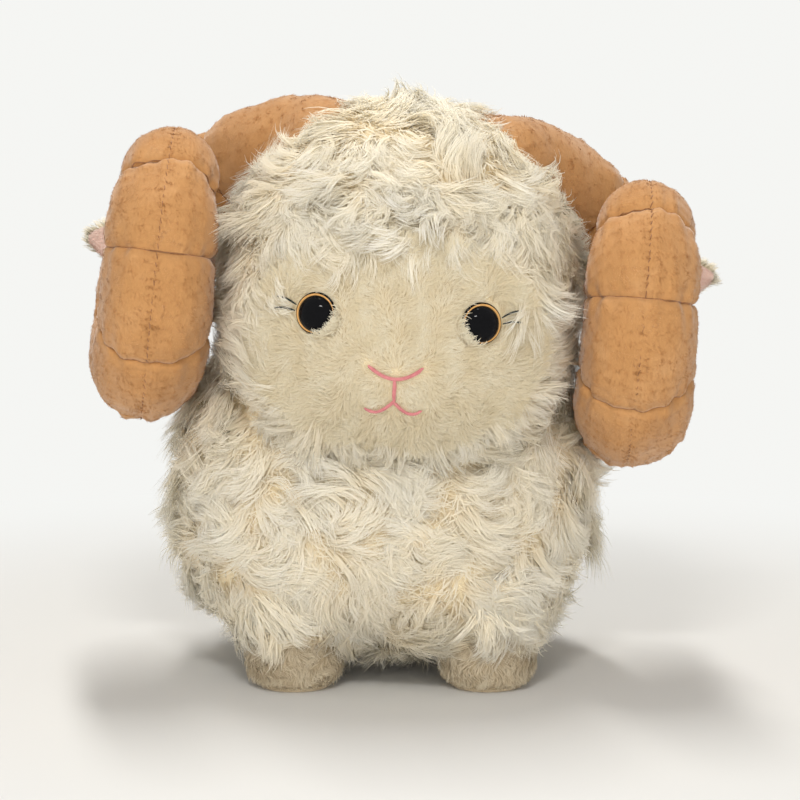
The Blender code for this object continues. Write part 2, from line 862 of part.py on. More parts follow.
head_pivot = add_empty("head_centre", head_centre, None, (0, head_roll, 0))
head_room = add_cutter("head_space", tufted_mesh("head_space", head_form, -seam_gap), head_pivot)
body_pivot = make_body(head_room)
body_room = add_cutter("body_space", tufted_mesh("body_space", body_form, -seam_gap), body_pivot)
ear_room_mesh = tufted_mesh("ear_space", head_form, -ear_seam_clearance)
ear_room = add_cutter("ear_space", ear_room_mesh, head_pivot)
head_fill = make_head(head_pivot)
face = make_face_panel(head_pivot)
for side in SIDE_NAMES:
    make_eye(side, head_pivot, face, head_fill)
    make_lashes(side, head_pivot)
    make_horn(side, head_pivot, head_room)
    make_ear(side, head_pivot, ear_room)
for leg_name, leg_place in leg_places.items():
    make_leg(leg_name, leg_place, body_room)
make_nose_and_mouth(head_pivot)
make_tail(body_room)
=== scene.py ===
"""The looks of the stuffed sheep: fleece, pile, horns, face, light and camera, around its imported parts.

The sheep faces -Y and stands on the floor at Z = 0. Left and right are the sheep's own. Lengths are metres.
"""

import math
from collections import namedtuple
from types import SimpleNamespace

import bmesh
import bpy
import numpy as np
from mathutils import Matrix, Vector
from mathutils.kdtree import KDTree


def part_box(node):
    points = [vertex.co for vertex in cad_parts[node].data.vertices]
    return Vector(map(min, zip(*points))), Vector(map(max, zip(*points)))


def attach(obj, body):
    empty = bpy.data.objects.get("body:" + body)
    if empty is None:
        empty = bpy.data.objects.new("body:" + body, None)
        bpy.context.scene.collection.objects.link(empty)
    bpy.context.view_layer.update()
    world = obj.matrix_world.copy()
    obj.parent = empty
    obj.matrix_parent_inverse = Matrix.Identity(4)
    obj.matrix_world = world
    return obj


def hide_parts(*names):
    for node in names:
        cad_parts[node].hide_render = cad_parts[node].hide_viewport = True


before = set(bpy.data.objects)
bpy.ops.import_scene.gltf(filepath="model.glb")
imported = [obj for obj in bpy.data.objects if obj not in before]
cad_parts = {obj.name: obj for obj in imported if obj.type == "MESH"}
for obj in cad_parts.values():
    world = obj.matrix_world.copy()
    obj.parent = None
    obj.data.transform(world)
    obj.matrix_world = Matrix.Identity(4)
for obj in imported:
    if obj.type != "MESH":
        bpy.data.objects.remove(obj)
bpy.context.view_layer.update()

BAKE_MAP = "OFBake"
LEFT = 1
RIGHT = -1
SIDE_NAMES = {LEFT: "left", RIGHT: "right"}

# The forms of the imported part
body_width = 0.201
body_depth = 0.184
body_height = 0.160
body_ground_clearance = 0.011
body_setback = 0.0085
body_side_shift = 0.0085
head_width = 0.167
head_depth = 0.152
head_height = 0.172
head_centre_height = 0.190
head_forward = 0.0325
head_roll = math.radians(3.6)
neck_opening_setback = 0.030
neck_rest_radius = 0.084
face_width = 0.124
face_height = 0.088
face_drop = 0.022
muzzle_bulge = 0.009
muzzle_drop = 0.037
muzzle_width = 0.056
muzzle_height = 0.042
tuft_depth = 0.0045
tuft_fade = 0.0180
tuft_stages = 3
tuft_waves = 5.0
tuft_wander_share = 0.08

# Eyes, lashes and mouth
eye_diameter = 0.0190
pupil_diameter = 0.0158
eye_spacing = 0.0735
eye_drop = 0.0090
eye_step = 0.0050
dome_height = 0.0052
flange_thickness = 0.0015
iris_rim = 0.0006
lash_length = 0.0085
lash_degrees = {"upper": 20.0, "lower": 2.0}
lash_thread = 0.0008
mouth_thread = 0.0019
nose_width = 0.0240
nose_sag = 0.0053
nose_drop = 0.0350
lip_length = 0.0085
mouth_width = 0.0250
mouth_sag = 0.0062
mouth_corner_rise = 0.0016

# Horns
horn_reach = 0.1200
horn_loop_radius = 0.0520
horn_radius = 0.0245
horn_setback = 0.0100
horn_rise = -0.0010
horn_roll = math.radians(2.1)
horn_seam_degrees = (-12.0, 45.0, 92.0, 140.0, 188.0, 234.0, 278.0, 315.0, 349.0)
horn_reach_shares = (0.26, 0.70, 0.95, 0.99, 0.955, 0.93, 0.92, 0.92, 0.915)
horn_loop_shares = {
    LEFT: (1.17, 1.12, 1.06, 1.00, 0.97, 0.955, 0.935, 0.905, 0.83),
    RIGHT: (1.17, 1.12, 1.06, 1.00, 0.97, 0.96, 0.96, 0.95, 0.93),
}
horn_radius_shares = (0.88, 0.94, 0.98, 1.02, 1.06, 1.03, 0.99, 0.94, 0.88)

# Legs and tail
leg_width = 0.0470
foot_width = 0.0430
foot_round_height = 0.0150
sole_width = 0.0330
sole_thickness = 0.0020
leg_spacing = 0.0905
front_leg_forward = 0.0540
rear_leg_back = 0.0500
leg_height = 0.0560
seam_gap = 0.0003
tail_seam_height = 0.1080
tail_length = 0.0370
tail_half = (0.0150, 0.0130, 0.0185)

# Ears
ear_length = 0.0640
ear_width = 0.0290
ear_thickness = 0.0085
ear_setback = 0.0100
ear_rise = 0.0005
ear_lift = math.radians(9.0)
ear_twist = math.radians(24.0)
ear_fullest_share = 0.55
ear_round_share = 2 / 3
ear_root_share = 0.48
ear_start = 0.16

# Camera, from the photograph of 800 by 800 pixels
pixel_size = 0.000465
photo_pixels = 800
camera_distance = 1.60
camera_elevation = math.radians(8.0)
camera_target = (0, -0.050, 0.1363)
sensor_width = 0.036


# Objects and meshes

def link(name, data):
    item = bpy.data.objects.new(name, data)
    bpy.context.scene.collection.objects.link(item)
    return item


def quad_mesh(name, points, quads):
    """A smooth mesh of four-cornered faces, from arrays."""
    mesh = bpy.data.meshes.new(name)
    mesh.vertices.add(len(points))
    mesh.vertices.foreach_set("co", np.ascontiguousarray(points, np.float32).ravel())
    mesh.loops.add(quads.size)
    mesh.loops.foreach_set("vertex_index", quads.astype(np.int32).ravel())
    mesh.polygons.add(len(quads))
    mesh.polygons.foreach_set("loop_start", np.arange(0, quads.size, 4, dtype=np.int32))
    mesh.update(calc_edges=True)
    mesh.shade_smooth()
    return mesh


def face_mesh(name, points, faces):
    """A smooth mesh of faces with any number of corners."""
    mesh = bpy.data.meshes.new(name)
    mesh.from_pydata(np.asarray(points).tolist(), [], faces)
    mesh.shade_smooth()
    return mesh


def add_piece(name, mesh, finish, body, stands_for=()):
    """A visible piece on a body. It may stand for CAD nodes, which it hides."""
    mesh.materials.append(finish)
    piece = link(name, mesh)
    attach(piece, body)
    if stands_for:
        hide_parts(*stands_for)


def grid_quads(rows, columns, wrap):
    """Faces between rows of points, each row closed into a ring if it wraps."""
    last = columns if wrap else columns - 1
    row, column = np.meshgrid(np.arange(rows - 1), np.arange(last), indexing="ij")
    here = row * columns + column
    after = row * columns + (column + 1) % columns
    corners = (here, after, after + columns, here + columns)
    return np.stack([part.ravel() for part in corners], axis=1)


def moved(points, matrix):
    matrix = np.array(matrix)
    return points @ matrix[:3, :3].T + matrix[:3, 3]


def unit(vectors):
    return vectors / np.maximum(np.linalg.norm(vectors, axis=-1, keepdims=True), 1e-12)


def tangent(directions, normals):
    """The part of each direction that lies in the surface."""
    return unit(directions - normals * (directions * normals).sum(-1, keepdims=True))


def turned(directions, normals, angles):
    """Directions in the surface, turned about its normals."""
    angles = np.asarray(angles)[..., None]
    return directions * np.cos(angles) + np.cross(normals, directions) * np.sin(angles)


def eased(values, start, end):
    share = np.clip((values - start) / (end - start), 0, 1)
    return share * share * (3 - 2 * share)


def wander(points, wavelength, seed):
    """A smooth field over space, mostly between -1.5 and 1.5, made of a few plane waves."""
    waves = np.random.default_rng(seed)
    count = 6
    total = np.zeros(points.shape[:-1])
    for _ in range(count):
        direction = unit(waves.normal(size=3)) * math.tau / wavelength * waves.uniform(0.7, 1.4)
        total += np.sin(points @ direction + waves.uniform(0, math.tau))
    return total / math.sqrt(count / 2)


# Swollen forms

class Form:
    """The full, box-like ovoid of the body or head, which points can be pressed on to."""

    def __init__(self, centre, half, shares, roll=0.0, has_muzzle=False, clear=None):
        self.centre = np.array(centre, float)
        self.half = np.array(half, float)
        self.shares = shares
        self.turn = np.array(Matrix.Rotation(roll, 3, "Y"))
        self.roll = roll
        self.has_muzzle = has_muzzle
        self.clear = clear

    def inset(self, depth):
        return Form(self.centre, self.half - depth, self.shares, self.roll, self.has_muzzle, self.clear)

    def inward(self, points):
        return (points - self.centre) @ self.turn

    def outward(self, points):
        return points @ self.turn.T + self.centre

    def swell(self, local):
        """The muzzle's swelling at each point, and its slopes across and upward."""
        if not self.has_muzzle:
            nothing = np.zeros(len(local))
            return nothing, nothing, nothing
        across = local[:, 0] / (muzzle_width / 2)
        upward = (local[:, 2] + muzzle_drop) / (muzzle_height / 2)
        height = muzzle_bulge * np.exp(-(across * across + upward * upward) / 2) * (local[:, 1] < 0)
        return height, -height * across / (muzzle_width / 2), -height * upward / (muzzle_height / 2)

    def measure(self, local):
        """How far out each point is, 1 on the surface, and the outward slope there."""
        round_share, top_share, base_share = self.shares
        height, across_slope, upward_slope = self.swell(local)
        plain = local.copy()
        plain[:, 1] += height
        signs = np.sign(plain)
        x, y, z = (np.maximum(np.abs(plain) / self.half, 1e-6)).T
        full = np.where(plain[:, 2] > 0, top_share, base_share)
        flat = (x ** round_share + y ** round_share) ** (1 / round_share)
        out = (flat ** full + z ** full) ** (1 / full)
        ring = (flat / out) ** (full - 1)
        slope = np.stack([
            ring * (x / flat) ** (round_share - 1),
            ring * (y / flat) ** (round_share - 1),
            (z / out) ** (full - 1),
        ], axis=1) * signs / self.half
        slope[:, 0] += slope[:, 1] * across_slope
        slope[:, 2] += slope[:, 1] * upward_slope
        return out, slope

    def depth(self, points):
        """Below 1 inside the form and above 1 outside it."""
        return self.measure(self.inward(points))[0]

    def press(self, points):
        """The points moved on to the surface, and the outward normals there."""
        local = self.inward(points.reshape(-1, 3))
        height = self.swell(local)[0]
        out = self.measure(local)[0]
        local[:, 1] += height
        local /= out[:, None]
        local[:, 1] -= self.swell(local)[0]
        normals = unit(self.measure(local)[1])
        return self.outward(local).reshape(points.shape), (normals @ self.turn.T).reshape(points.shape)

    def sunk(self, points):
        """How deep the creases between the tufts run at each point."""
        if self.clear is None:
            return np.zeros(len(points))
        directions = unit(self.inward(points) / self.half)
        away = np.array([tuft_tree.find(direction)[2] for direction in directions])
        return tuft_depth * eased(away, 0.03, 0.15) * self.clear(points)

    def ball(self, detail):
        """Evenly spread points of the whole surface, and its triangles."""
        shape = bmesh.new()
        bmesh.ops.create_icosphere(shape, subdivisions=detail, radius=1)
        directions = np.array([vertex.co for vertex in shape.verts])
        triangles = np.array([[vertex.index for vertex in face.verts] for face in shape.faces])
        shape.free()
        points, normals = self.press(self.outward(directions * self.half))
        return points - normals * self.sunk(points)[:, None], triangles

    def scatter(self, density, rng, keep):
        """Random points of the surface, so many to the square metre, where keep is true."""
        points, triangles = self.ball(5)
        corners = points[triangles]
        areas = np.linalg.norm(np.cross(corners[:, 1] - corners[:, 0], corners[:, 2] - corners[:, 0]), axis=1) / 2
        count = int(density * areas.sum())
        chosen = corners[rng.choice(len(areas), count, p=areas / areas.sum())]
        weights = rng.dirichlet((1, 1, 1), count)
        found, normals = self.press((chosen * weights[..., None]).sum(1))
        kept = keep(found)
        return found[kept], normals[kept]


def clear_share(distance):
    """How much of its depth a tuft has at a distance from a sewn edge."""
    return eased(distance, 0.0, tuft_fade)


def body_clear(points):
    """The fleece lies flat where the legs and the tail are sewn to it."""
    share = clear_share(np.linalg.norm(points - tail_seat, axis=1) - tail_length)
    for x, y in leg_places.values():
        away = clear_share(np.hypot(points[:, 0] - x, points[:, 1] - y) - leg_width / 2)
        share = np.where(points[:, 2] < body_centre[2], np.minimum(share, away), share)
    return share


def head_clear(points):
    """The fleece lies flat round the face, the horns, the ears and the neck."""
    neck = head_form.outward(np.array([0, neck_opening_setback, -head_half[2]]))
    share = clear_share(np.linalg.norm(points - neck, axis=1) - neck_rest_radius)
    share = np.minimum(share, clear_share((face_oval(points) - 1) * face_height / 2))
    for side in SIDE_NAMES:
        ear = np.array(ear_hinge(side).translation)
        share = np.minimum(share, clear_share(np.linalg.norm(points - ear, axis=1) - ear_width / 2))
        for root in horn_root_line(side):
            share = np.minimum(share, clear_share(np.linalg.norm(points - root, axis=1) - horn_radius))
    return share


def tuft_directions():
    """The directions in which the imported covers' tufts stand."""
    shape = bmesh.new()
    bmesh.ops.create_icosphere(shape, subdivisions=tuft_stages, radius=1)
    directions = unit(np.array([vertex.co for vertex in shape.verts]))
    shape.free()
    return unit(directions + tuft_wander_share * np.sin(tuft_waves * directions[:, [1, 2, 0]]))


def point_tree(points):
    tree = KDTree(len(points))
    for index, point in enumerate(points):
        tree.insert(point, index)
    tree.balance()
    return tree


tuft_tree = point_tree(tuft_directions())
body_half = (body_width / 2, body_depth / 2, body_height / 2)
body_centre = (-body_side_shift, body_setback, body_ground_clearance + body_height / 2)
head_half = (head_width / 2, head_depth / 2, head_height / 2)
head_centre = (0, -head_forward, head_centre_height)
body_form = Form(body_centre, body_half, (2.3, 2.4, 3.2), clear=body_clear)
head_form = Form(head_centre, head_half, (2.5, 1.95, 2.9), head_roll, True, head_clear)
tail_seat = np.array([body_centre[0], body_centre[1] + body_half[1], tail_seam_height])
leg_places = {}
for leg_side, leg_label in SIDE_NAMES.items():
    leg_x = (body_centre[0] + leg_side * leg_spacing) / 2
    leg_places["front_leg_" + leg_label] = (leg_x, body_centre[1] - front_leg_forward)
    leg_places["rear_leg_" + leg_label] = (leg_x, body_centre[1] + rear_leg_back)
head_matrix = Matrix.Translation(head_centre) @ Matrix.Rotation(head_roll, 4, "Y")


def face_place(points):
    """Where points lie in the head's own frame: across, back and up."""
    return head_form.inward(points)


def face_points(across, upward, proud=0.0):
    """Points of the face at places in the head's frame, and the normals there."""
    across = np.atleast_1d(np.asarray(across, float))
    upward = np.atleast_1d(np.asarray(upward, float))
    round_share, top_share, base_share = head_form.shares
    full = np.where(upward > 0, top_share, base_share)
    level = (1 - np.abs(upward / head_form.half[2]) ** full) ** (1 / full)
    depth = (level ** round_share - np.abs(across / head_form.half[0]) ** round_share) ** (1 / round_share)
    local = np.stack([across, -head_form.half[1] * depth, upward], axis=1)
    local[:, 1] -= head_form.swell(local)[0]
    normals = unit(head_form.measure(local)[1])
    return head_form.outward(local + normals * proud), normals @ head_form.turn.T


def face_oval(points):
    """Below 1 inside the outline of the short-pile face, seen from the front."""
    local = face_place(points)
    across = local[:, 0] / (face_width / 2)
    upward = (local[:, 2] + face_drop) / (face_height / 2)
    return np.where(local[:, 1] < 0, np.hypot(across, upward), 9.0)


# Materials

def feed(tree, socket, value):
    """Links a node's output to a socket, or gives the socket a plain value."""
    if isinstance(value, bpy.types.NodeSocket):
        tree.links.new(value, socket)
    else:
        socket.default_value = value


def add_node(tree, kind, inputs=None, **settings):
    """A node with its settings, and its inputs fed by name or by number."""
    node = tree.nodes.new(kind)
    for name, value in settings.items():
        setattr(node, name, value)
    for name, value in (inputs or {}).items():
        feed(tree, node.inputs[name], value)
    return node


def mix_surface(tree, factor, first, second, output="Material Output"):
    """Shows the mix of two shaders."""
    mix = add_node(tree, "ShaderNodeMixShader", {0: factor, 1: first, 2: second})
    feed(tree, tree.nodes[output].inputs["Surface"], mix.outputs["Shader"])


def new_material(name, roughness, sheen, specular):
    material = bpy.data.materials.new(name)
    material.use_nodes = True
    shader = material.node_tree.nodes["Principled BSDF"]
    shader.inputs["Roughness"].default_value = roughness
    shader.inputs["Sheen Weight"].default_value = sheen
    shader.inputs["Specular IOR Level"].default_value = specular
    return material, material.node_tree, shader


def add_ramp(tree, source, stops):
    """A colour ramp through stops of (place, colour)."""
    node = add_node(tree, "ShaderNodeValToRGB", {"Fac": source})
    elements = node.color_ramp.elements
    while len(elements) < len(stops):
        elements.new(0.5)
    for element, (place, colour) in zip(elements, stops):
        element.position = place
        element.color = (*colour, 1)
    return node.outputs["Color"]


def add_noise(tree, size, detail, stretch=(1, 1, 1)):
    """Noise over the object's own coordinates, with patches about as large as its size."""
    place = add_node(tree, "ShaderNodeTexCoord").outputs["Object"]
    scale = [part / size for part in stretch]
    mapped = add_node(tree, "ShaderNodeMapping", {"Vector": place, "Scale": scale}).outputs["Vector"]
    noise = add_node(tree, "ShaderNodeTexNoise", {"Vector": mapped, "Scale": 1.0, "Detail": detail})
    return noise.outputs["Fac"]


def add_mix(tree, factor, first, second, blend="MIX"):
    """A mix of two colours, each one a node's output or three numbers."""
    colours = [part if isinstance(part, bpy.types.NodeSocket) else (*part, 1) for part in (first, second)]
    inputs = {0: factor, 6: colours[0], 7: colours[1]}
    return add_node(tree, "ShaderNodeMix", inputs, data_type="RGBA", blend_type=blend).outputs[2]


def add_bump(tree, shader, height, depth):
    bump = add_node(tree, "ShaderNodeBump", {"Strength": 1.0, "Distance": depth, "Height": height})
    feed(tree, shader.inputs["Normal"], bump.outputs["Normal"])


def strand_material(name, root, low, tips, clear=0.40):
    """Strands that let some light through: the map's U picks a strand's shade, its V runs from root to tip,
    darkening toward the root as painted shade deep in the pile.
    """
    material, tree, shader = new_material(name, 0.62, 0.0, 0.10)
    place = add_node(tree, "ShaderNodeUVMap", uv_map=BAKE_MAP).outputs["UV"]
    across, along, _ = add_node(tree, "ShaderNodeSeparateXYZ", {"Vector": place}).outputs
    step = 1 / (len(tips) - 1)
    shades = add_ramp(tree, across, [(index * step, tip) for index, tip in enumerate(tips)])
    # Painted shade: the colour runs darker from the lower colour down to the root colour, for the shade deep in the
    # pile.
    deep = add_ramp(tree, along, [(0.0, root), (0.45, low)])
    rise = add_ramp(tree, along, [(0.15, (0, 0, 0)), (0.75, (1, 1, 1))])
    colour = add_mix(tree, rise, deep, shades)
    rough = add_ramp(tree, along, [(0.0, (0.95,) * 3), (1.0, (0.50,) * 3)])
    # Seen from behind, a strand's soft normal is mirrored by its face, so that both of its sides are lit alike.
    surface = add_node(tree, "ShaderNodeNewGeometry").outputs
    inputs = {0: surface["Normal"], 1: (-0.5, -0.5, -0.5), 2: surface["True Normal"]}
    behind = add_node(tree, "ShaderNodeVectorMath", inputs, operation="MULTIPLY_ADD").outputs["Vector"]
    inputs = {0: surface["Backfacing"], 4: surface["Normal"], 5: behind}
    normal = add_node(tree, "ShaderNodeMix", inputs, data_type="VECTOR").outputs[1]
    level = add_node(tree, "ShaderNodeVectorMath", {0: normal}, operation="NORMALIZE").outputs["Vector"]
    for socket, value in (("Base Color", colour), ("Roughness", rough), ("Normal", level)):
        feed(tree, shader.inputs[socket], value)
    through = add_node(tree, "ShaderNodeBsdfTranslucent", {"Color": colour})
    mix_surface(tree, clear, shader.outputs["BSDF"], through.outputs["BSDF"])
    return material


def cloth_material(name, dark, light, grain, depth):
    """Woven backing or thread: mottled colour with a fine bump."""
    material, tree, shader = new_material(name, 0.9, 0.3, 0.2)
    patches = add_noise(tree, grain * 9, 4.0)
    feed(tree, shader.inputs["Base Color"], add_ramp(tree, patches, [(0.3, dark), (0.7, light)]))
    add_bump(tree, shader, add_noise(tree, grain, 2.0), depth)
    return material


def gloss_material(name, colour, roughness, coat):
    """Moulded plastic."""
    material, tree, shader = new_material(name, roughness, 0.0, 0.08)
    shader.inputs["Coat Weight"].default_value = coat
    shader.inputs["Coat Roughness"].default_value = 0.03
    darker = [part * 0.8 for part in colour]
    tone = add_ramp(tree, add_noise(tree, 0.004, 2.0), [(0.3, darker), (0.7, colour)])
    feed(tree, shader.inputs["Base Color"], tone)
    return material


def velvet_material(name, colours):
    """The horns' ground under their nap: large soft patches, partly random tone and partly painted sheen of the
    pile's direction, and a fine grain.
    """
    material, tree, shader = new_material(name, 0.85, 0.35, 0.10)
    shader.inputs["Sheen Roughness"].default_value = 0.45
    # Painted sheen: the large light and dark patches stand partly for the pile's direction catching the light.
    tone = add_ramp(tree, add_noise(tree, 0.016, 4.0), list(zip((0.25, 0.55, 0.8), colours)))
    fine = add_noise(tree, 0.0012, 3.0, (1, 1, 0.4))
    grain = add_ramp(tree, fine, [(0.3, (0.92,) * 3), (0.7, (1.0,) * 3)])
    feed(tree, shader.inputs["Base Color"], add_mix(tree, 1.0, tone, grain, "MULTIPLY"))
    add_bump(tree, shader, add_noise(tree, 0.0010, 3.0, (1, 1, 0.5)), 0.00015)
    return material


# Each strand finish gives a root colour, a lower colour and tip colours; a root colour darker than the tips is
# painted shade deep in the pile.
fleece_finish = strand_material(
    "fleece_strands",
    (0.925, 0.81, 0.60),
    (0.965, 0.89, 0.725),
    [(0.965, 0.90, 0.75), (0.978, 0.925, 0.80), (0.988, 0.955, 0.86), (0.993, 0.972, 0.91)],
)
face_finish = strand_material(
    "face_strands",
    (0.76, 0.64, 0.43),
    (0.84, 0.74, 0.54),
    [(0.84, 0.75, 0.55), (0.90, 0.825, 0.65), (0.95, 0.905, 0.77)],
)
foot_finish = strand_material(
    "foot_strands",
    (0.52, 0.42, 0.28),
    (0.68, 0.58, 0.42),
    [(0.68, 0.58, 0.42), (0.77, 0.68, 0.52), (0.86, 0.79, 0.64)],
)
pink_finish = strand_material(
    "ear_lining_strands",
    (0.80, 0.56, 0.48),
    (0.87, 0.66, 0.58),
    [(0.88, 0.68, 0.60), (0.92, 0.76, 0.68), (0.95, 0.84, 0.77)],
)
horn_nap_finish = strand_material(
    "horn_nap_strands",
    (0.46, 0.228, 0.084),
    (0.50, 0.252, 0.096),
    [(0.35, 0.164, 0.063), (0.495, 0.254, 0.104), (0.58, 0.325, 0.149), (0.72, 0.455, 0.25)],
    clear=0.35,
)
fleece_backing = cloth_material("fleece_backing", (0.82, 0.69, 0.46), (0.90, 0.79, 0.57), 0.0007, 0.0004)
face_backing = cloth_material("face_backing", (0.66, 0.54, 0.34), (0.78, 0.67, 0.46), 0.0006, 0.0004)
foot_backing = cloth_material("foot_backing", (0.50, 0.40, 0.26), (0.64, 0.53, 0.37), 0.0006, 0.0004)
pink_backing = cloth_material("ear_lining_backing", (0.80, 0.56, 0.48), (0.88, 0.66, 0.58), 0.0006, 0.0003)
fill_finish = cloth_material("fibre_fill", (0.78, 0.78, 0.76), (0.92, 0.92, 0.90), 0.0012, 0.0008)
pellet_finish = cloth_material("pellet_cloth", (0.60, 0.58, 0.52), (0.74, 0.72, 0.66), 0.0009, 0.0003)
dark_thread = cloth_material("dark_thread", (0.008, 0.012, 0.011), (0.03, 0.04, 0.036), 0.0003, 0.0001)
pink_thread = cloth_material("pink_thread", (0.52, 0.165, 0.175), (0.64, 0.24, 0.245), 0.0003, 0.0001)
# Dark brown thread for the horns' seams: real stitches on the outer rim, and rings in the seam grooves that are
# painted shade.
seam_shade_and_thread = cloth_material("horn_seam_shade_and_thread", (0.24, 0.105, 0.040), (0.36, 0.17, 0.070), 0.0004, 0.0001)
horn_velvet = velvet_material("horn_velvet", ((0.46, 0.23, 0.085), (0.50, 0.255, 0.098), (0.56, 0.305, 0.132)))
black_gloss = gloss_material("black_gloss", (0.004, 0.004, 0.005), 0.05, 0.0)
amber_gloss = gloss_material("amber_gloss", (0.70, 0.38, 0.13), 0.25, 0.2)
white_plastic = gloss_material("white_plastic", (0.80, 0.80, 0.78), 0.4, 0.0)


# Strands

floor_gap = 0.0004
shade_columns = 64
strand_stops = 6
wisp_reach = 0.0034
lock_close = 0.42
stray_share = 0.12
stray_lift = 0.0034
Fleece = namedtuple("Fleece", "length spacing lift wisps strands width curl gather", defaults=(1.5, 0.86))


def strand_mesh(name, paths, sides, widths, normals, shades):
    """Flat, tapering strands from arrays of their points, with soft normals and a shade each."""
    count, stops = widths.shape
    offset = sides * widths[..., None] / 2
    points = np.stack([paths - offset, paths + offset], axis=2).reshape(-1, 3)
    first = np.arange(count)[:, None] * stops * 2 + np.arange(stops - 1) * 2
    quads = np.stack([first, first + 1, first + 3, first + 2], axis=-1).reshape(-1, 4)
    mesh = quad_mesh(name, points, quads)
    left = (np.floor(np.clip(shades, 0, 0.999) * shade_columns) + 0.15) / shade_columns
    left = np.repeat(left[:, None], stops - 1, axis=1)
    right = left + 0.7 / shade_columns
    along = np.linspace(0.03, 0.97, stops)
    low, high = (np.broadcast_to(part, left.shape) for part in (along[:-1], along[1:]))
    corners = np.stack([left, low, right, low, right, high, left, high], axis=-1)
    layer = mesh.uv_layers.new(name=BAKE_MAP)
    layer.uv.foreach_set("vector", corners.astype(np.float32).ravel())
    mesh.normals_split_custom_set_from_vertices(np.repeat(normals.reshape(-1, 3), 2, axis=0))
    return mesh


def spaced(points, normals, spacing):
    """Drops each point that lies nearer than the spacing to one kept before it."""
    kept = np.empty_like(points)
    chosen = []
    for index, point in enumerate(points):
        count = len(chosen)
        if count == 0 or ((kept[:count] - point) ** 2).sum(1).min() > spacing * spacing:
            kept[count] = point
            chosen.append(index)
    return points[chosen], normals[chosen]


def nearest(points, centres):
    tree = point_tree(centres)
    return np.array([tree.find(point)[1] for point in points])


def strand_sides(paths, normals, twist):
    """Across each strand, flat on the surface but for its twist, and its face's normals."""
    along = unit(np.gradient(paths, axis=1))
    across = unit(np.cross(along, normals))
    twist = twist[:, None, None]
    sides = across * np.cos(twist) + np.cross(along, across) * np.sin(twist)
    faces = np.cross(sides, along)
    return sides, faces * np.sign((faces * normals).sum(-1, keepdims=True))


def lay_locks(form, style, flow, keep, seed, calm, rng):
    """The places and habits of a fleece's locks."""
    places, normals = form.scatter(5 / style.spacing ** 2, rng, keep)
    places, normals = spaced(places, normals, style.spacing)
    heading = flow(places, normals, rng)
    count = len(places)
    curl = style.curl * np.sign(wander(places, 0.030, seed + 1)) * rng.uniform(0.5, 1.5, count)
    if calm is not None:
        curl *= 1 - calm(places)
    length = style.length * rng.uniform(0.75, 1.25, count)
    lift = style.lift * rng.uniform(0.70, 1.25, count) * (1 + 0.30 * wander(places, 0.030, seed + 3))
    shade = rng.uniform(-0.16, 0.16, count) + 0.10 * wander(places, 0.05, seed + 2)
    tip = rng.uniform(-0.55, 0.75, count)
    bend = curl + np.where(np.abs(curl) < 0.05, 0.1, 0.0)
    return SimpleNamespace(
        places=places, normals=normals, heading=heading, across=np.cross(normals, heading),
        length=length, lift=lift, shade=shade, tip=tip, bend=bend,
    )


def lay_wisps(form, style, keep, locks, rng):
    """The places and habits of a fleece's wisps, each one part of the lock nearest to it."""
    places, _ = form.scatter(style.wisps, rng, keep)
    lock = nearest(places, locks.places)
    from_lock = places - locks.places[lock]
    heading = locks.heading[lock]
    count = len(places)
    turn = rng.normal(0, 0.36, count)
    length = rng.uniform(0.72, 1.15, count)
    lift = rng.uniform(0.7, 1.25, count)
    shade = rng.normal(0, 0.10, count)
    reach = locks.length[lock] * length * 0.8
    ends = places + turned(heading, locks.normals[lock], turn) * reach[:, None]
    return SimpleNamespace(
        lock=lock, ahead=(from_lock * heading).sum(1), aside=(from_lock * locks.across[lock]).sum(1),
        turn=turn, length=length, lift=lift, shade=shade,
        sunk_root=form.sunk(places), sunk_tip=form.sunk(ends),
    )


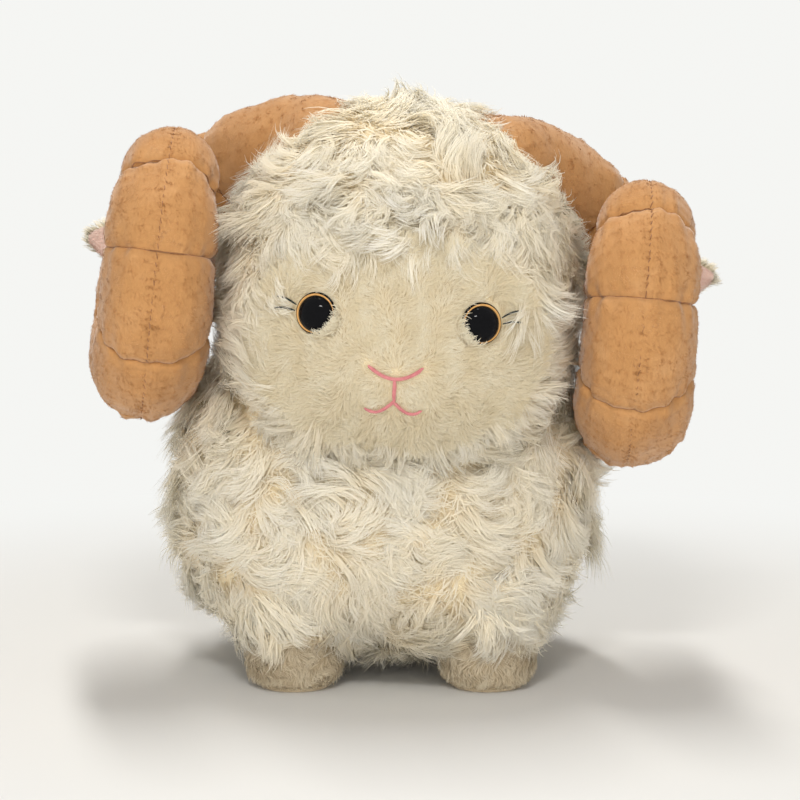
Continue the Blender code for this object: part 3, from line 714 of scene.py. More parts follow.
def grow_locks(form, style, flow, keep, seed, calm=None):
    """Curly locks on a form: the strands' paths, sides, widths, normals and shades, and each one's lock's place."""
    rng = np.random.default_rng(seed)
    locks = lay_locks(form, style, flow, keep, seed, calm, rng)
    wisps = lay_wisps(form, style, keep, locks, rng)
    wisp = np.repeat(np.arange(len(wisps.lock)), style.strands)
    lock = wisps.lock[wisp]
    count = len(wisp)
    spread = wisp_reach * np.sqrt(rng.uniform(0, 1, count))
    angle = rng.uniform(0, math.tau, count)
    strand_ahead, strand_aside = spread * np.cos(angle), spread * np.sin(angle)
    length = (locks.length[lock] * wisps.length[wisp] * rng.uniform(0.75, 1.12, count))[:, None]
    is_stray = rng.uniform(0, 1, count) < stray_share
    t = np.linspace(0, 1, strand_stops)[None, :]

    # Strands gather into their wisp, and wisps close into their lock, which curls to one side.
    gather = style.gather * eased(t, 0.0, 0.85) * np.where(is_stray, 0.3, 1.0)[:, None]
    close = lock_close * eased(t, 0.1, 1.0)
    frizz = 0.0005 * t * np.sin(rng.uniform(0, math.tau, count)[:, None] + t * 7)
    start = wisps.turn[wisp][:, None] + rng.normal(0, 0.07, count)[:, None]
    bend = locks.bend[lock][:, None]
    run = (np.sin(start + bend * t) - np.sin(start)) / bend * length
    drift = (np.cos(start) - np.cos(start + bend * t)) / bend * length
    ahead = (wisps.ahead[wisp][:, None] + strand_ahead[:, None] * (1 - gather)) * (1 - close) + run
    aside = (wisps.aside[wisp][:, None] + strand_aside[:, None] * (1 - gather) + frizz) * (1 - close) + drift
    heading, across = locks.heading[lock][:, None], locks.across[lock][:, None]
    flat = locks.places[lock][:, None] + heading * ahead[..., None] + across * aside[..., None]
    ground, ground_normals = form.press(flat)

    # A lock stands highest along its middle, and some tips stand up.
    off = np.clip((wisps.aside[wisp] + strand_aside) / (style.spacing * 0.75), -1.3, 1.3)
    lift = (locks.lift[lock] * wisps.lift[wisp] * (1 - 0.42 * off ** 2))[:, None]
    rise = 1 - (1 - t) ** 2.2
    tip = locks.tip[lock][:, None] * np.clip(t - 0.55, 0, 1) ** 1.3 * 2.0
    height = lift * (rise + tip)
    height += np.where(is_stray, stray_lift * rng.uniform(0.3, 1.3, count), 0.0)[:, None] * t
    height += rng.normal(0, 0.00045, count)[:, None] * t - 0.0008 * (1 - t)
    height -= wisps.sunk_root[wisp][:, None] * (1 - t) + wisps.sunk_tip[wisp][:, None] * t
    paths = ground + ground_normals * height[..., None]
    paths[..., 2] = np.maximum(paths[..., 2], floor_gap)
    sides, faces = strand_sides(paths, ground_normals, rng.normal(0, 0.40, count))
    widths = style.width * rng.uniform(0.75, 1.25, count)[:, None] * (1 - 0.86 * t ** 1.6)
    tilt = across * (off * 0.45)[:, None, None]
    forward = heading * (0.35 * (t[..., None] - 0.45))
    soft = unit(ground_normals + tilt + forward + faces * 0.30)
    shades = 0.55 + locks.shade[lock] + wisps.shade[wisp] + rng.normal(0, 0.10, count)
    return paths, sides, widths, soft, np.clip(shades, 0, 0.999), locks.places[lock]


def sow_pile(places, normals, heading, length, lift, width, rng, stops=4, twist=0.5, facing=0.4):
    """Short strands from given roots, leaning along their headings."""
    count = len(places)
    t = np.linspace(0, 1, stops)[None, :, None]
    length = np.broadcast_to(length, (count,))[:, None, None] * rng.uniform(0.7, 1.2, (count, 1, 1))
    lift = np.broadcast_to(lift, (count,))[:, None, None] * rng.uniform(0.7, 1.3, (count, 1, 1))
    heading = turned(heading, normals, rng.normal(0, 0.22, count))[:, None]
    bow = np.cross(normals[:, None], heading) * rng.normal(0, 0.16, (count, 1, 1)) * t * t
    up = normals[:, None] * (lift * (1 - (1 - t) ** 1.8) - 0.0004)
    paths = places[:, None] + (heading * t + bow) * length + up
    paths[..., 2] = np.maximum(paths[..., 2], floor_gap)
    all_normals = np.broadcast_to(normals[:, None], paths.shape)
    sides, faces = strand_sides(paths, all_normals, rng.normal(0, twist, count))
    widths = width * rng.uniform(0.7, 1.3, (count, 1)) * (1 - 0.8 * t[..., 0] ** 1.5)
    return paths, sides, widths, unit(all_normals + faces * facing)


def plant(name, strands, shades, finish, body):
    """Makes a piece of strands."""
    add_piece(name, strand_mesh(name, *strands, np.clip(shades, 0, 0.999)), finish, body)


def plant_fleece(name, grown, body="sheep", chosen=slice(None)):
    """Makes a piece of the chosen strands of a fleece."""
    paths, sides, widths, normals, shades = (part[chosen] for part in grown[:5])
    plant(name, (paths, sides, widths, normals), shades, fleece_finish, body)


# Stage, light and camera

backdrop_colour = (0.915, 0.918, 0.895)
lit_floor_colour = (0.86, 0.855, 0.84)
seen_floor_colour = (0.66, 0.655, 0.64)
room_colour = (1.0, 0.98, 0.95)
room_strength = 0.44
lamp_colour = (1.0, 0.985, 0.95)


def seen_rays(tree):
    """1 for what the camera sees, straight, in a reflection or through glass, and 0 for light on the object."""
    path = add_node(tree, "ShaderNodeLightPath").outputs
    total = path["Is Camera Ray"]
    for ray in ("Is Glossy Ray", "Is Transmission Ray"):
        total = add_node(tree, "ShaderNodeMath", {0: total, 1: path[ray]}, operation="MAXIMUM").outputs["Value"]
    return total


def make_stage():
    """A pale floor that sweeps up into a far backdrop, and that has the backdrop's colour away from the toy."""
    reach, bend = 6.0, 1.5
    outline = [(-reach, 0.0), (reach, 0.0)]
    for turn in np.linspace(0, math.pi / 2, 13)[1:]:
        outline.append((reach + bend * math.sin(turn), bend * (1 - math.cos(turn))))
    outline.append((reach + bend, reach))
    points = np.array([(side * reach, y, z) for y, z in outline for side in (-1, 1)])
    floor = link("floor", quad_mesh("floor", points, grid_quads(len(outline), 2, False)))
    material, tree, shader = new_material("pale_floor", 0.9, 0.0, 0.0)
    seen = seen_rays(tree)
    feed(tree, shader.inputs["Base Color"], add_mix(tree, seen, lit_floor_colour, seen_floor_colour))
    place = add_node(tree, "ShaderNodeNewGeometry").outputs["Position"]
    away = add_node(tree, "ShaderNodeVectorMath", {0: place}, operation="LENGTH").outputs["Value"]
    inputs = {"Value": away, "From Min": 0.22, "From Max": 0.52}
    far = add_node(tree, "ShaderNodeMapRange", inputs, interpolation_type="SMOOTHSTEP").outputs["Result"]
    share = add_node(tree, "ShaderNodeMath", {0: far, 1: seen}, operation="MULTIPLY").outputs["Value"]
    glow = add_node(tree, "ShaderNodeEmission", {"Color": (*backdrop_colour, 1)})
    mix_surface(tree, share, shader.outputs["BSDF"], glow.outputs["Emission"])
    floor.data.materials.append(material)


def aim(item, place, ahead):
    """Puts a lamp or the camera at a place, looking along a direction."""
    item.location = place
    item.rotation_mode = "QUATERNION"
    item.rotation_quaternion = ahead.to_track_quat("-Z", "Y")


def add_lamp(name, place, target, width, height, power):
    lamp = bpy.data.lights.new(name, "AREA")
    lamp.shape = "RECTANGLE"
    lamp.size = width
    lamp.size_y = height
    lamp.energy = power
    lamp.color = lamp_colour
    item = link(name, lamp)
    aim(item, place, Vector(target) - Vector(place))
    return item


def make_light():
    """A soft room, a lamp behind and above that drops the shadow forward, and two lamps in front."""
    world = bpy.data.worlds.new("studio")
    bpy.context.scene.world = world
    world.use_nodes = True
    tree = world.node_tree
    room = tree.nodes["Background"]
    feed(tree, room.inputs["Color"], (*room_colour, 1))
    feed(tree, room.inputs["Strength"], room_strength)
    bright = add_node(tree, "ShaderNodeBackground", {"Color": (*backdrop_colour, 1), "Strength": 1.0})
    shown = [node.outputs["Background"] for node in (room, bright)]
    mix_surface(tree, seen_rays(tree), *shown, "World Output")
    head = (0, 0, head_centre_height)
    add_lamp("overhead_lamp", (-0.10, 0.50, 2.20), head, 0.22, 1.40, 34.0)
    add_lamp("front_lamp", (-0.10, -1.45, 1.30), head, 0.36, 0.13, 12.0)
    low_lamp = add_lamp("low_lamp", (0.0, -1.90, 0.45), (0, 0, 0.12), 3.00, 0.80, 14.5)
    low_lamp.visible_glossy = False


def make_camera():
    camera = bpy.data.cameras.new("camera")
    camera.sensor_width = sensor_width * 1000
    camera.lens = camera.sensor_width * camera_distance / (pixel_size * photo_pixels)
    item = link("camera", camera)
    ahead = Vector((0, math.cos(camera_elevation), -math.sin(camera_elevation)))
    aim(item, Vector(camera_target) - ahead * camera_distance, ahead)
    bpy.context.scene.camera = item


# Body and head

skin_depth = 0.003
clear_of_cover = -0.001
horn_root_room = 0.0215
underfur_density = 260000
body_fleece = Fleece(0.023, 0.0125, 0.0072, 82000, 13, 0.00048)
head_fleece = Fleece(0.020, 0.0115, 0.0066, 86000, 13, 0.00047)
fringe_fleece = Fleece(0.018, 0.0095, 0.0112, 86000, 14, 0.00045, 0.8, 0.94)
cuff_fleece = Fleece(0.019, 0.0100, 0.0048, 85000, 11, 0.00056, 1.2)
tail_fleece = Fleece(0.012, 0.0085, 0.0040, 90000, 10, 0.0005, 1.3)
body_skin_form = body_form.inset(skin_depth)
head_skin_form = head_form.inset(skin_depth)


def body_flow(points, normals, rng):
    down = tangent(np.broadcast_to(np.array([0.0, 0.0, -1.0]), points.shape), normals)
    angles = 1.4 * wander(points, 0.055, 11) + rng.normal(0, 0.45, len(points))
    return turned(down, normals, angles)


def outward_on_head(across, upward, normals, lean=(0, 0, 0)):
    """Directions in the head's surface that point away from a place on its front."""
    local = np.stack([across, np.zeros(len(across)), upward], axis=1)
    return tangent(local @ head_form.turn.T + np.array(lean), normals)


def beside_face(points):
    """1 on the cheeks and the chin, 0 on the crown and the back of the head."""
    local = face_place(points)
    return eased(-local[:, 2], -0.016, 0.014) * eased(-local[:, 1], 0.0, 0.03)


def calm_cheeks(points):
    return 0.6 * beside_face(points)


def head_flow(points, normals, rng):
    """Down from the crown, over the forehead, and outward beside and below the face."""
    local = face_place(points)
    down = tangent(np.broadcast_to(np.array([0.0, -0.15, -1.0]), points.shape), normals)
    outward = outward_on_head(local[:, 0], local[:, 2] + face_drop, normals)
    beside = beside_face(points)
    heading = unit(down * (1 - beside)[:, None] + outward * beside[:, None])
    angles = 1.1 * wander(points, 0.050, 21) + rng.normal(0, 0.40, len(points))
    return turned(heading, normals, angles * (1 - 0.55 * beside))


def fringe_flow(points, normals, rng):
    """Down over the forehead, spreading a little to both sides."""
    across = face_place(points)[:, 0]
    down = np.stack([across * 9, 0 * across - 0.2, 0 * across - 1], axis=1) @ head_form.turn.T
    angles = 0.45 * wander(points, 0.030, 23) + rng.normal(0, 0.28, len(points))
    return turned(tangent(down, normals), normals, angles)


def outside_head(points):
    return head_form.inset(clear_of_cover).depth(points) > 1


def outside_body(points):
    return body_form.inset(clear_of_cover).depth(points) > 1


def head_fleece_room(points):
    """Where the head's fleece grows: off the body, the horns' roots and the face."""
    is_free = outside_body(points)
    for side in SIDE_NAMES:
        roots = horn_root_line(side)
        is_beside = (points - roots[0]) @ unit(roots[1] - roots[0]) > -0.001
        for root in roots:
            is_free &= ~(is_beside & (np.linalg.norm(points - root, axis=1) < horn_root_room))
    above = eased(face_place(points)[:, 2], -0.010, 0.006)
    return is_free & (face_oval(points) > 0.90 + 0.14 * above)


def fringe_room(points):
    oval = face_oval(points)
    return (oval > 1.0) & (oval < 1.75) & (face_place(points)[:, 2] > 0.026)


def off_the_eyes(paths):
    """Which strands don't lie across an eye."""
    local = face_place(paths.reshape(-1, 3)).reshape(paths.shape)
    is_clear = np.full(len(paths), True)
    for side in SIDE_NAMES:
        x, z = eye_place(side)
        away = np.hypot(local[..., 0] - x, local[..., 2] - z)
        is_clear &= ((away > eye_diameter / 2 + 0.0005) | (local[..., 1] > 0)).all(axis=1)
    return is_clear


def plant_sectors(kind, grown, middle, names, is_clear=True):
    """Plants a fleece as one piece for each sector seen from above."""
    from_middle = grown[5] - middle
    turn = np.arctan2(from_middle[:, 0], -from_middle[:, 1])
    share = (turn / math.tau + 0.5 / len(names)) % 1
    sector = np.floor(share * len(names)).astype(int)
    for index, name in enumerate(names):
        plant_fleece(kind + "_fleece_" + name, grown, chosen=(sector == index) & is_clear)


def over_legs(paths):
    """Hangs the body's locks over the tops of the legs instead of through them."""
    for x, y in leg_places.values():
        away = paths[..., :2] - [x, y]
        radius = np.maximum(np.linalg.norm(away, axis=-1), 1e-6)
        full = leg_width / 2 + 0.0050
        push = np.maximum(full - radius, 0) * (paths[..., 2] < leg_height) * 0.85
        paths[..., :2] += away * (push / radius)[..., None]


def plant_underfur(name, form, flow, keep, seed):
    """Short bright strands that fill the ground between the locks."""
    rng = np.random.default_rng(seed)
    points, normals = form.scatter(underfur_density, rng, keep)
    heading = turned(flow(points, normals, rng), normals, rng.normal(0, 0.6, len(points)))
    places = points - normals * form.sunk(points)[:, None]
    strands = sow_pile(places, normals, heading, 0.0085, 0.0042, 0.0008, rng, twist=0.4, facing=0.2)
    shades = rng.normal(0.30, 0.14, len(places))
    plant(name, strands, shades, fleece_finish, "sheep")


def make_body():
    points, triangles = body_skin_form.ball(5)
    mesh = face_mesh("body_skin", points, triangles.tolist())
    add_piece("body_skin", mesh, fleece_backing, "sheep", ["body_cover"])
    grown = grow_locks(body_skin_form, body_fleece, body_flow, outside_head, 101)
    over_legs(grown[0])
    names = ("front", "front_left", "left", "rear", "right", "front_right")
    plant_sectors("body", grown, body_centre, names)
    plant_underfur("body_underfur", body_skin_form, body_flow, outside_head, 111)


def make_head():
    points, triangles = head_skin_form.ball(5)
    triangles = triangles[face_oval(points[triangles].mean(1)) > 0.96]
    mesh = face_mesh("head_skin", points, triangles.tolist())
    add_piece("head_skin", mesh, fleece_backing, "sheep", ["head_cover"])
    grown = grow_locks(head_skin_form, head_fleece, head_flow, head_fleece_room, 202, calm_cheeks)
    names = ("front", "left_cheek", "left", "rear", "right", "right_cheek")
    plant_sectors("head", grown, head_centre, names, off_the_eyes(grown[0]))
    grown = grow_locks(head_skin_form, fringe_fleece, fringe_flow, fringe_room, 212)
    plant_fleece("forehead_fringe", grown, chosen=off_the_eyes(grown[0]))
    plant_underfur("head_underfur", head_skin_form, head_flow, head_fleece_room, 222)


# Face

face_ground = 0.0006
face_pile_count = 50000
pupil_shift = 0.00045
pupil_turn = math.radians(20)
round_edge = 0.0004
turned_steps = 64


def eye_place(side):
    return side * eye_spacing / 2, -eye_drop


def seat_matrix(across, upward):
    """A frame on the face whose Z axis points straight out of it."""
    places, _ = face_points(
        [across, across + eye_step, across - eye_step, across, across],
        [upward, upward, upward, upward + eye_step, upward - eye_step],
    )
    sideways = Vector(places[1] - places[2])
    up = Vector(places[3] - places[4])
    normal = sideways.cross(up).normalized()
    turn = normal.to_track_quat("Z", "Y").to_matrix().to_4x4()
    return Matrix.Translation(places[0]) @ turn


def mouth_lines():
    """The embroidered lines as lists of places on the face: nose, lip and mouth."""
    shares = np.linspace(-1, 1, 25)
    nose = np.stack([shares * nose_width / 2, nose_sag * shares ** 2 - nose_drop], axis=1)
    mouth_top = -(nose_drop + lip_length + mouth_thread)
    dip = mouth_sag * np.sin(math.pi * np.abs(shares) * 2 / 3)
    mouth = np.stack([shares * mouth_width / 2, mouth_top - dip + mouth_corner_rise * shares ** 2], axis=1)
    lip = np.stack([np.zeros(7), np.linspace(-nose_drop, mouth_top, 7)], axis=1)
    return {"nose": nose, "lip": lip, "mouth": mouth}


def face_room(across, upward):
    """How far each place of the face is from an eye's edge and from the nearest stitched line."""
    from_eye = np.full(len(across), 1.0)
    for side in (LEFT, RIGHT):
        x, z = eye_place(side)
        from_eye = np.minimum(from_eye, np.hypot(across - x, upward - z) - eye_diameter / 2)
    from_line = np.full(len(across), 1.0)
    for line in mouth_lines().values():
        for x, z in line:
            from_line = np.minimum(from_line, np.hypot(across - x, upward - z))
    return from_eye, from_line


def make_face():
    rings, columns = 26, 72
    share = np.linspace(0.02, 1.0, rings)[:, None]
    turn = np.arange(columns) / columns * math.tau
    across = (share * np.cos(turn) * face_width / 2).ravel()
    upward = (share * np.sin(turn) * face_height / 2 - face_drop).ravel()
    points, _ = face_points(across, upward, -face_ground)
    back, _ = face_points(across[-columns:], upward[-columns:], -0.0026)
    faces = grid_quads(rings + 1, columns, True).tolist()
    mesh = face_mesh("face_skin", np.concatenate([points, back]), faces)
    add_piece("face_skin", mesh, face_backing, "sheep", ["face_panel"])
    rng = np.random.default_rng(303)
    radius = np.sqrt(rng.uniform(0, 1, face_pile_count)) * 1.03
    angle = rng.uniform(0, math.tau, face_pile_count)
    across = radius * np.cos(angle) * face_width / 2
    upward = radius * np.sin(angle) * face_height / 2 - face_drop
    from_eye, from_line = face_room(across, upward)
    kept = (from_eye > 0.0003) & (from_line > 0.0010)
    across, upward, from_eye, from_line, radius = (
        part[kept] for part in (across, upward, from_eye, from_line, radius)
    )
    places, normals = face_points(across, upward, -face_ground)
    outward = outward_on_head(across, upward + nose_drop - 0.006, normals, (0, 0, 0.004))
    angles = 0.55 * wander(places, 0.016, 31) + rng.normal(0, 0.35, len(places))
    off_line = eased(from_line, 0.001, 0.005)
    length = (0.0038 + 0.0060 * eased(radius, 0.60, 1.0)) * (0.45 + 0.55 * off_line)
    lift = 0.0026 * (0.35 + 0.65 * off_line) * (0.75 + 0.5 * eased(radius, 0.5, 1.0))
    lift *= 0.6 + 0.4 * eased(from_eye, 0.0, 0.005)
    heading = turned(outward, normals, angles)
    strands = sow_pile(places, normals, heading, length, lift, 0.00042, rng, stops=3)
    shades = 0.5 + 0.16 * wander(places, 0.012, 32) + rng.normal(0, 0.16, len(places))
    plant("face_pile", strands, shades, face_finish, "sheep")


def make_eye_fringe(side):
    """Pile that stands over the inner and lower edge of an eye."""
    rng = np.random.default_rng(320 + side)
    count = 340
    x, z = eye_place(side)
    turn = rng.normal(math.radians(218), math.radians(24), count)
    reach = eye_diameter / 2 + rng.uniform(0.0002, 0.0026, count)
    across, upward = x + side * reach * np.cos(turn), z + reach * np.sin(turn)
    places, normals = face_points(across, upward, -0.0004)
    inward = outward_on_head(x - across, z - upward, normals)
    heading = turned(inward, normals, rng.normal(0, 0.6, count))
    strands = sow_pile(places, normals, heading, 0.0037, 0.0052, 0.00046, rng, stops=5)
    shades = rng.uniform(0.4, 0.95, count)
    plant("eye_fringe_" + SIDE_NAMES[side], strands, shades, face_finish, "sheep")


def lathe(outline, steps, is_closed=False):
    """Points and faces of a profile of (radius, height) turned about the Z axis, its ends capped."""
    turn = np.arange(steps) / steps * math.tau
    outline = np.array(outline)
    across = outline[:, :1] * np.cos(turn)
    backward = outline[:, :1] * np.sin(turn)
    upward = np.broadcast_to(outline[:, 1:], across.shape)
    points = np.stack([across, backward, upward], axis=-1).reshape(-1, 3)
    faces = grid_quads(len(outline), steps, True)[:, ::-1].tolist()
    last = (len(outline) - 1) * steps
    if is_closed:
        for index in range(steps):
            after = (index + 1) % steps
            faces.append([index, after, last + after, last + index])
    else:
        faces.append(list(range(steps)))
        faces.append([last + index for index in reversed(range(steps))])
    return points, faces


def make_eye(side):
    """A button eye whose pupil is fuller toward the nose, so that its amber ring shows as a crescent."""
    label = SIDE_NAMES[side]
    seat = seat_matrix(*eye_place(side))
    pupil, rim = pupil_diameter / 2, eye_diameter / 2
    dome_stops = 17
    outline = []
    for step in range(dome_stops):
        turn = math.pi / 2 * (step + 0.15) / (dome_stops - 0.85)
        outline.append((pupil * math.sin(turn), flange_thickness + dome_height * math.cos(turn)))
    outline += [
        (rim - round_edge, flange_thickness),
        (rim, flange_thickness - round_edge),
        (rim, round_edge),
        (rim - round_edge, 0.0003),
    ]
    points, faces = lathe(outline, turned_steps)
    dome = points[:dome_stops * turned_steps, :2]
    dome *= (pupil + pupil_shift) / pupil
    dome += pupil_shift * np.array([-side * math.cos(pupil_turn), -math.sin(pupil_turn)])
    name = "button_eye_" + label
    mesh = face_mesh(name, moved(points, seat), faces)
    add_piece(name, mesh, black_gloss, "sheep", ["eye_" + label])
    inner, outer = pupil - 0.0003, rim - iris_rim
    middle, half = (inner + outer) / 2, (outer - inner) / 2
    ring = []
    for turn in np.arange(12) * math.tau / 12:
        ring.append((middle + half * math.cos(turn), flange_thickness + 0.0005 * math.sin(turn) + 0.0005))
    points, faces = lathe(ring, turned_steps, is_closed=True)
    name = "amber_iris_ring_" + label
    mesh = face_mesh(name, moved(points, seat), faces)
    add_piece(name, mesh, amber_gloss, "sheep", ["iris_ring_" + label])


def satin_line(name, line, diameter, finish, stands_for, slant, lift):
    """An embroidered line: short overlapping stitches, each a small plump thread laid across it at a slant."""
    steps = np.r_[0, np.cumsum(np.linalg.norm(np.diff(line, axis=0), axis=1))]
    thread = 0.00042
    count = max(3, int(steps[-1] / (thread * 0.62)))
    at = np.linspace(0, steps[-1], count)
    across, upward = (np.interp(at, steps, part) for part in line.T)
    centres, normals = face_points(across, upward, lift)
    along = unit(np.gradient(centres, axis=0))
    direction = unit(np.cross(normals, along)) * math.cos(slant) + along * math.sin(slant)
    rng = np.random.default_rng(len(name))
    half = diameter * 0.44 / math.cos(slant) * rng.uniform(0.92, 1.08, count)
    half *= np.sqrt(np.clip(np.minimum(at, steps[-1] - at) / (diameter * 0.8), 0.15, 1))
    points, faces = [], []
    sides, stops = 6, 7
    for index in range(count):
        base = len(points)
        up = normals[index]
        beside = np.cross(direction[index], up)
        for share in np.linspace(-1, 1, stops):
            arch = math.sqrt(max(0.02, 1 - share * share))
            centre = centres[index] + direction[index] * half[index] * share + up * diameter * 0.16 * arch
            radius = thread / 2 * (0.35 + 0.65 * arch)
            for turn in np.arange(sides) * math.tau / sides:
                points.append(centre + radius * (beside * math.cos(turn) + up * math.sin(turn)))
        faces += (grid_quads(stops, sides, True) + base).tolist()
        faces.append([base + corner for corner in reversed(range(sides))])
        faces.append([base + (stops - 1) * sides + corner for corner in range(sides)])
    add_piece(name, face_mesh(name, points, faces), finish, "sheep", stands_for)


def make_mouth():
    for label, line in mouth_lines().items():
        name, stands_for = "embroidered_" + label, [label + "_stitch"]
        satin_line(name, line, mouth_thread, pink_thread, stands_for, 0.9, 0.0009)


def make_lashes(side):
    x, z = eye_place(side)
    shares = np.linspace(0, 1, 9)
    reach = eye_diameter / 2 - 0.0004 + lash_length * shares
    bow = 0.0006 * np.sin(math.pi * shares)
    for position, degrees in lash_degrees.items():
        turn = math.radians(degrees)
        line = np.stack([x + side * reach * math.cos(turn), z + reach * math.sin(turn) + bow], axis=1)
        name = "lash_" + position + "_" + SIDE_NAMES[side]
        satin_line("sewn_" + name, line, lash_thread, dark_thread, [name], 1.25, 0.0024)


# Horns

def smooth_read(degrees, shares):
    """Reads a table of shares at the seams as one smooth curve through them."""
    stops = np.array(horn_seam_degrees)
    shares = np.array(shares)
    last = len(stops) - 2
    index = np.clip(np.searchsorted(stops, degrees, side="right") - 1, 0, last)
    part = (degrees - stops[index]) / (stops[index + 1] - stops[index])
    before = shares[np.maximum(index - 1, 0)]
    here, after = shares[index], shares[index + 1]
    beyond = shares[np.minimum(index + 2, len(shares) - 1)]
    slope_here, slope_after = (after - before) / 2, (beyond - here) / 2
    cube, square = part ** 3, part ** 2
    return (
        here * (2 * cube - 3 * square + 1)
        + slope_here * (cube - 2 * square + part)
        + after * (3 * square - 2 * cube)
        + slope_after * (cube - square)
    )


def horn_centre(side, degrees):
    """The horn's centre line, in the horn's own frame, before it is mirrored."""
    turn = np.radians(degrees)
    radius = horn_loop_radius * smooth_read(degrees, horn_loop_shares[side])
    reach = horn_reach * smooth_read(degrees, horn_reach_shares)
    return np.stack([reach, horn_setback + radius * np.sin(turn), horn_rise + radius * np.cos(turn)], axis=-1)


def horn_placed(side, points):
    """Points of the horn's own frame, mirrored for its side and put on the head."""
    roll = np.array(Matrix.Rotation(horn_roll, 3, "Y"))
    return head_form.outward(points * [side, 1, 1] @ roll.T)


def horn_root_line(side):
    """The centre line of the panel that is sewn to the head."""
    return horn_placed(side, horn_centre(side, np.linspace(*horn_seam_degrees[:2], 5)))


def horn_surface(side, degrees, turn, radius):
    """Points round the horn's centre line, in the horn's own frame."""
    along = unit(horn_centre(side, degrees + 1) - horn_centre(side, degrees - 1))
    outward = unit(np.array([1.0, 0, 0]) - along * along[..., :1])
    third = np.cross(along, outward)
    ray = outward * np.cos(turn)[..., None] + third * np.sin(turn)[..., None]
    return horn_centre(side, degrees) + radius[..., None] * ray


panel_count = len(horn_seam_degrees) - 1
seam_pinch = 0.0021
seam_pucker = 0.0007
panel_belly = 0.0009
tip_belly = 0.0002
centre_seam_turns = (-math.pi / 2, math.pi / 2)
seam_thread_radius = 0.00026
horn_sides = 72
horn_rings = 30


def horn_radius_at(panel, share, turn, side):
    """The puffed radius of a sewn panel: pinched at its seams, puckered along them, and a little uneven."""
    start, end = horn_seam_degrees[panel:panel + 2]
    degrees = start + (end - start) * share
    full = horn_radius * smooth_read(degrees, horn_radius_shares)
    is_tip = panel == panel_count - 1
    arc = math.radians(end - start) * horn_loop_radius
    near = share * arc if is_tip else np.minimum(share, 1 - share) * arc
    pinch = seam_pinch * np.exp(-(near / 0.0016) ** 1.1)
    belly = (tip_belly if is_tip else panel_belly) * np.sin(math.pi * share)
    folds = wander(np.stack([turn * 4.0, share * 0, share * 0 + panel], axis=-1), 1.3, 51 + side)
    radius = full - pinch + belly + seam_pucker * np.exp(-near / 0.006) * folds
    if is_tip:
        radius = radius * np.sqrt(np.clip(1 - np.clip((share - 0.30) / 0.72, 0, 1) ** 2.3, 0.0, 1))
    stitches = np.sin(share * arc / 0.0026 * math.tau + panel)
    seam = 0
    for seam_turn in centre_seam_turns:
        away = np.abs((turn - seam_turn + math.pi) % math.tau - math.pi) * full
        seam = seam + np.exp(-(away / 0.0011) ** 1.5) + 0.35 * np.exp(-(away / 0.0030) ** 2) * stitches
    place = horn_surface(side, degrees, turn, radius) * [side, 1, 1]
    uneven = 0.0006 * wander(place, 0.030, 52) + 0.0002 * wander(place, 0.008, 53)
    if is_tip:
        uneven = np.minimum(uneven, 0.0001)
    return radius - 0.0007 * seam + uneven, degrees


def horn_points(side, panel, share, turn):
    """Places of one horn panel on the sheep. The first panel ends on the head's skin."""
    radius, degrees = horn_radius_at(panel, share, turn, side)
    points = horn_placed(side, horn_surface(side, degrees, turn, radius).reshape(-1, 3))
    if panel == 0:
        pressed, _ = head_skin_form.press(points)
        is_inside = head_skin_form.depth(points) < 1
        points = np.where(is_inside[:, None], pressed, points)
    return points.reshape(radius.shape + (3,))


def tube(path, radius, sides=6):
    """Points and faces of a thin thread along a path, its ends capped."""
    along = unit(np.gradient(path, axis=0))
    aside = unit(np.cross(along, along[:, [1, 2, 0]] + [0.1, 0.2, 0.3]))
    other = np.cross(along, aside)
    turn = np.arange(sides) / sides * math.tau
    ring = aside[:, None] * np.cos(turn)[:, None] + other[:, None] * np.sin(turn)[:, None]
    taper = radius * np.r_[0.4, np.ones(len(path) - 2), 0.4]
    points = (path[:, None] + ring * taper[:, None, None]).reshape(-1, 3)
    faces = grid_quads(len(path), sides, True).tolist()
    first = list(range(sides))
    return points, faces + [first[::-1], [len(points) - sides + corner for corner in first]]


def make_seam_threads(side):
    """The dark thread at a horn's seams: rings round it between its panels, laid in the grooves as painted shade,
    and real stitches along its outer rim.
    """
    rng = np.random.default_rng(440 + side)
    around = np.linspace(0, math.tau, 97)
    # Painted shade: a dark thread ring in each seam's groove between panels.
    paths = [horn_points(side, panel, np.zeros(len(around)), around) for panel in range(1, panel_count)]
    rim = centre_seam_turns[0]
    for panel in range(panel_count):
        stitches = int((horn_seam_degrees[panel + 1] - horn_seam_degrees[panel]) * 0.34)
        for index in range(stitches):
            start, end = np.sort(rng.normal([index + 0.12, index + 0.80], 0.05)) / stitches
            slant = rng.normal(0.012, 0.010)
            share = np.clip(np.linspace(start, end, 5), 0, 1)
            paths.append(horn_points(side, panel, share, rim + np.linspace(-slant, slant, 5)))
    points, faces = [], []
    for path in paths:
        if head_form.depth(path).max() >= 1.0:
            tube_points, tube_faces = tube(path, seam_thread_radius)
            faces += [[corner + len(points) for corner in face] for face in tube_faces]
            points += tube_points.tolist()
    name = "horn_seams_" + SIDE_NAMES[side]
    add_piece(name, face_mesh(name, points, faces), seam_shade_and_thread, "sheep")


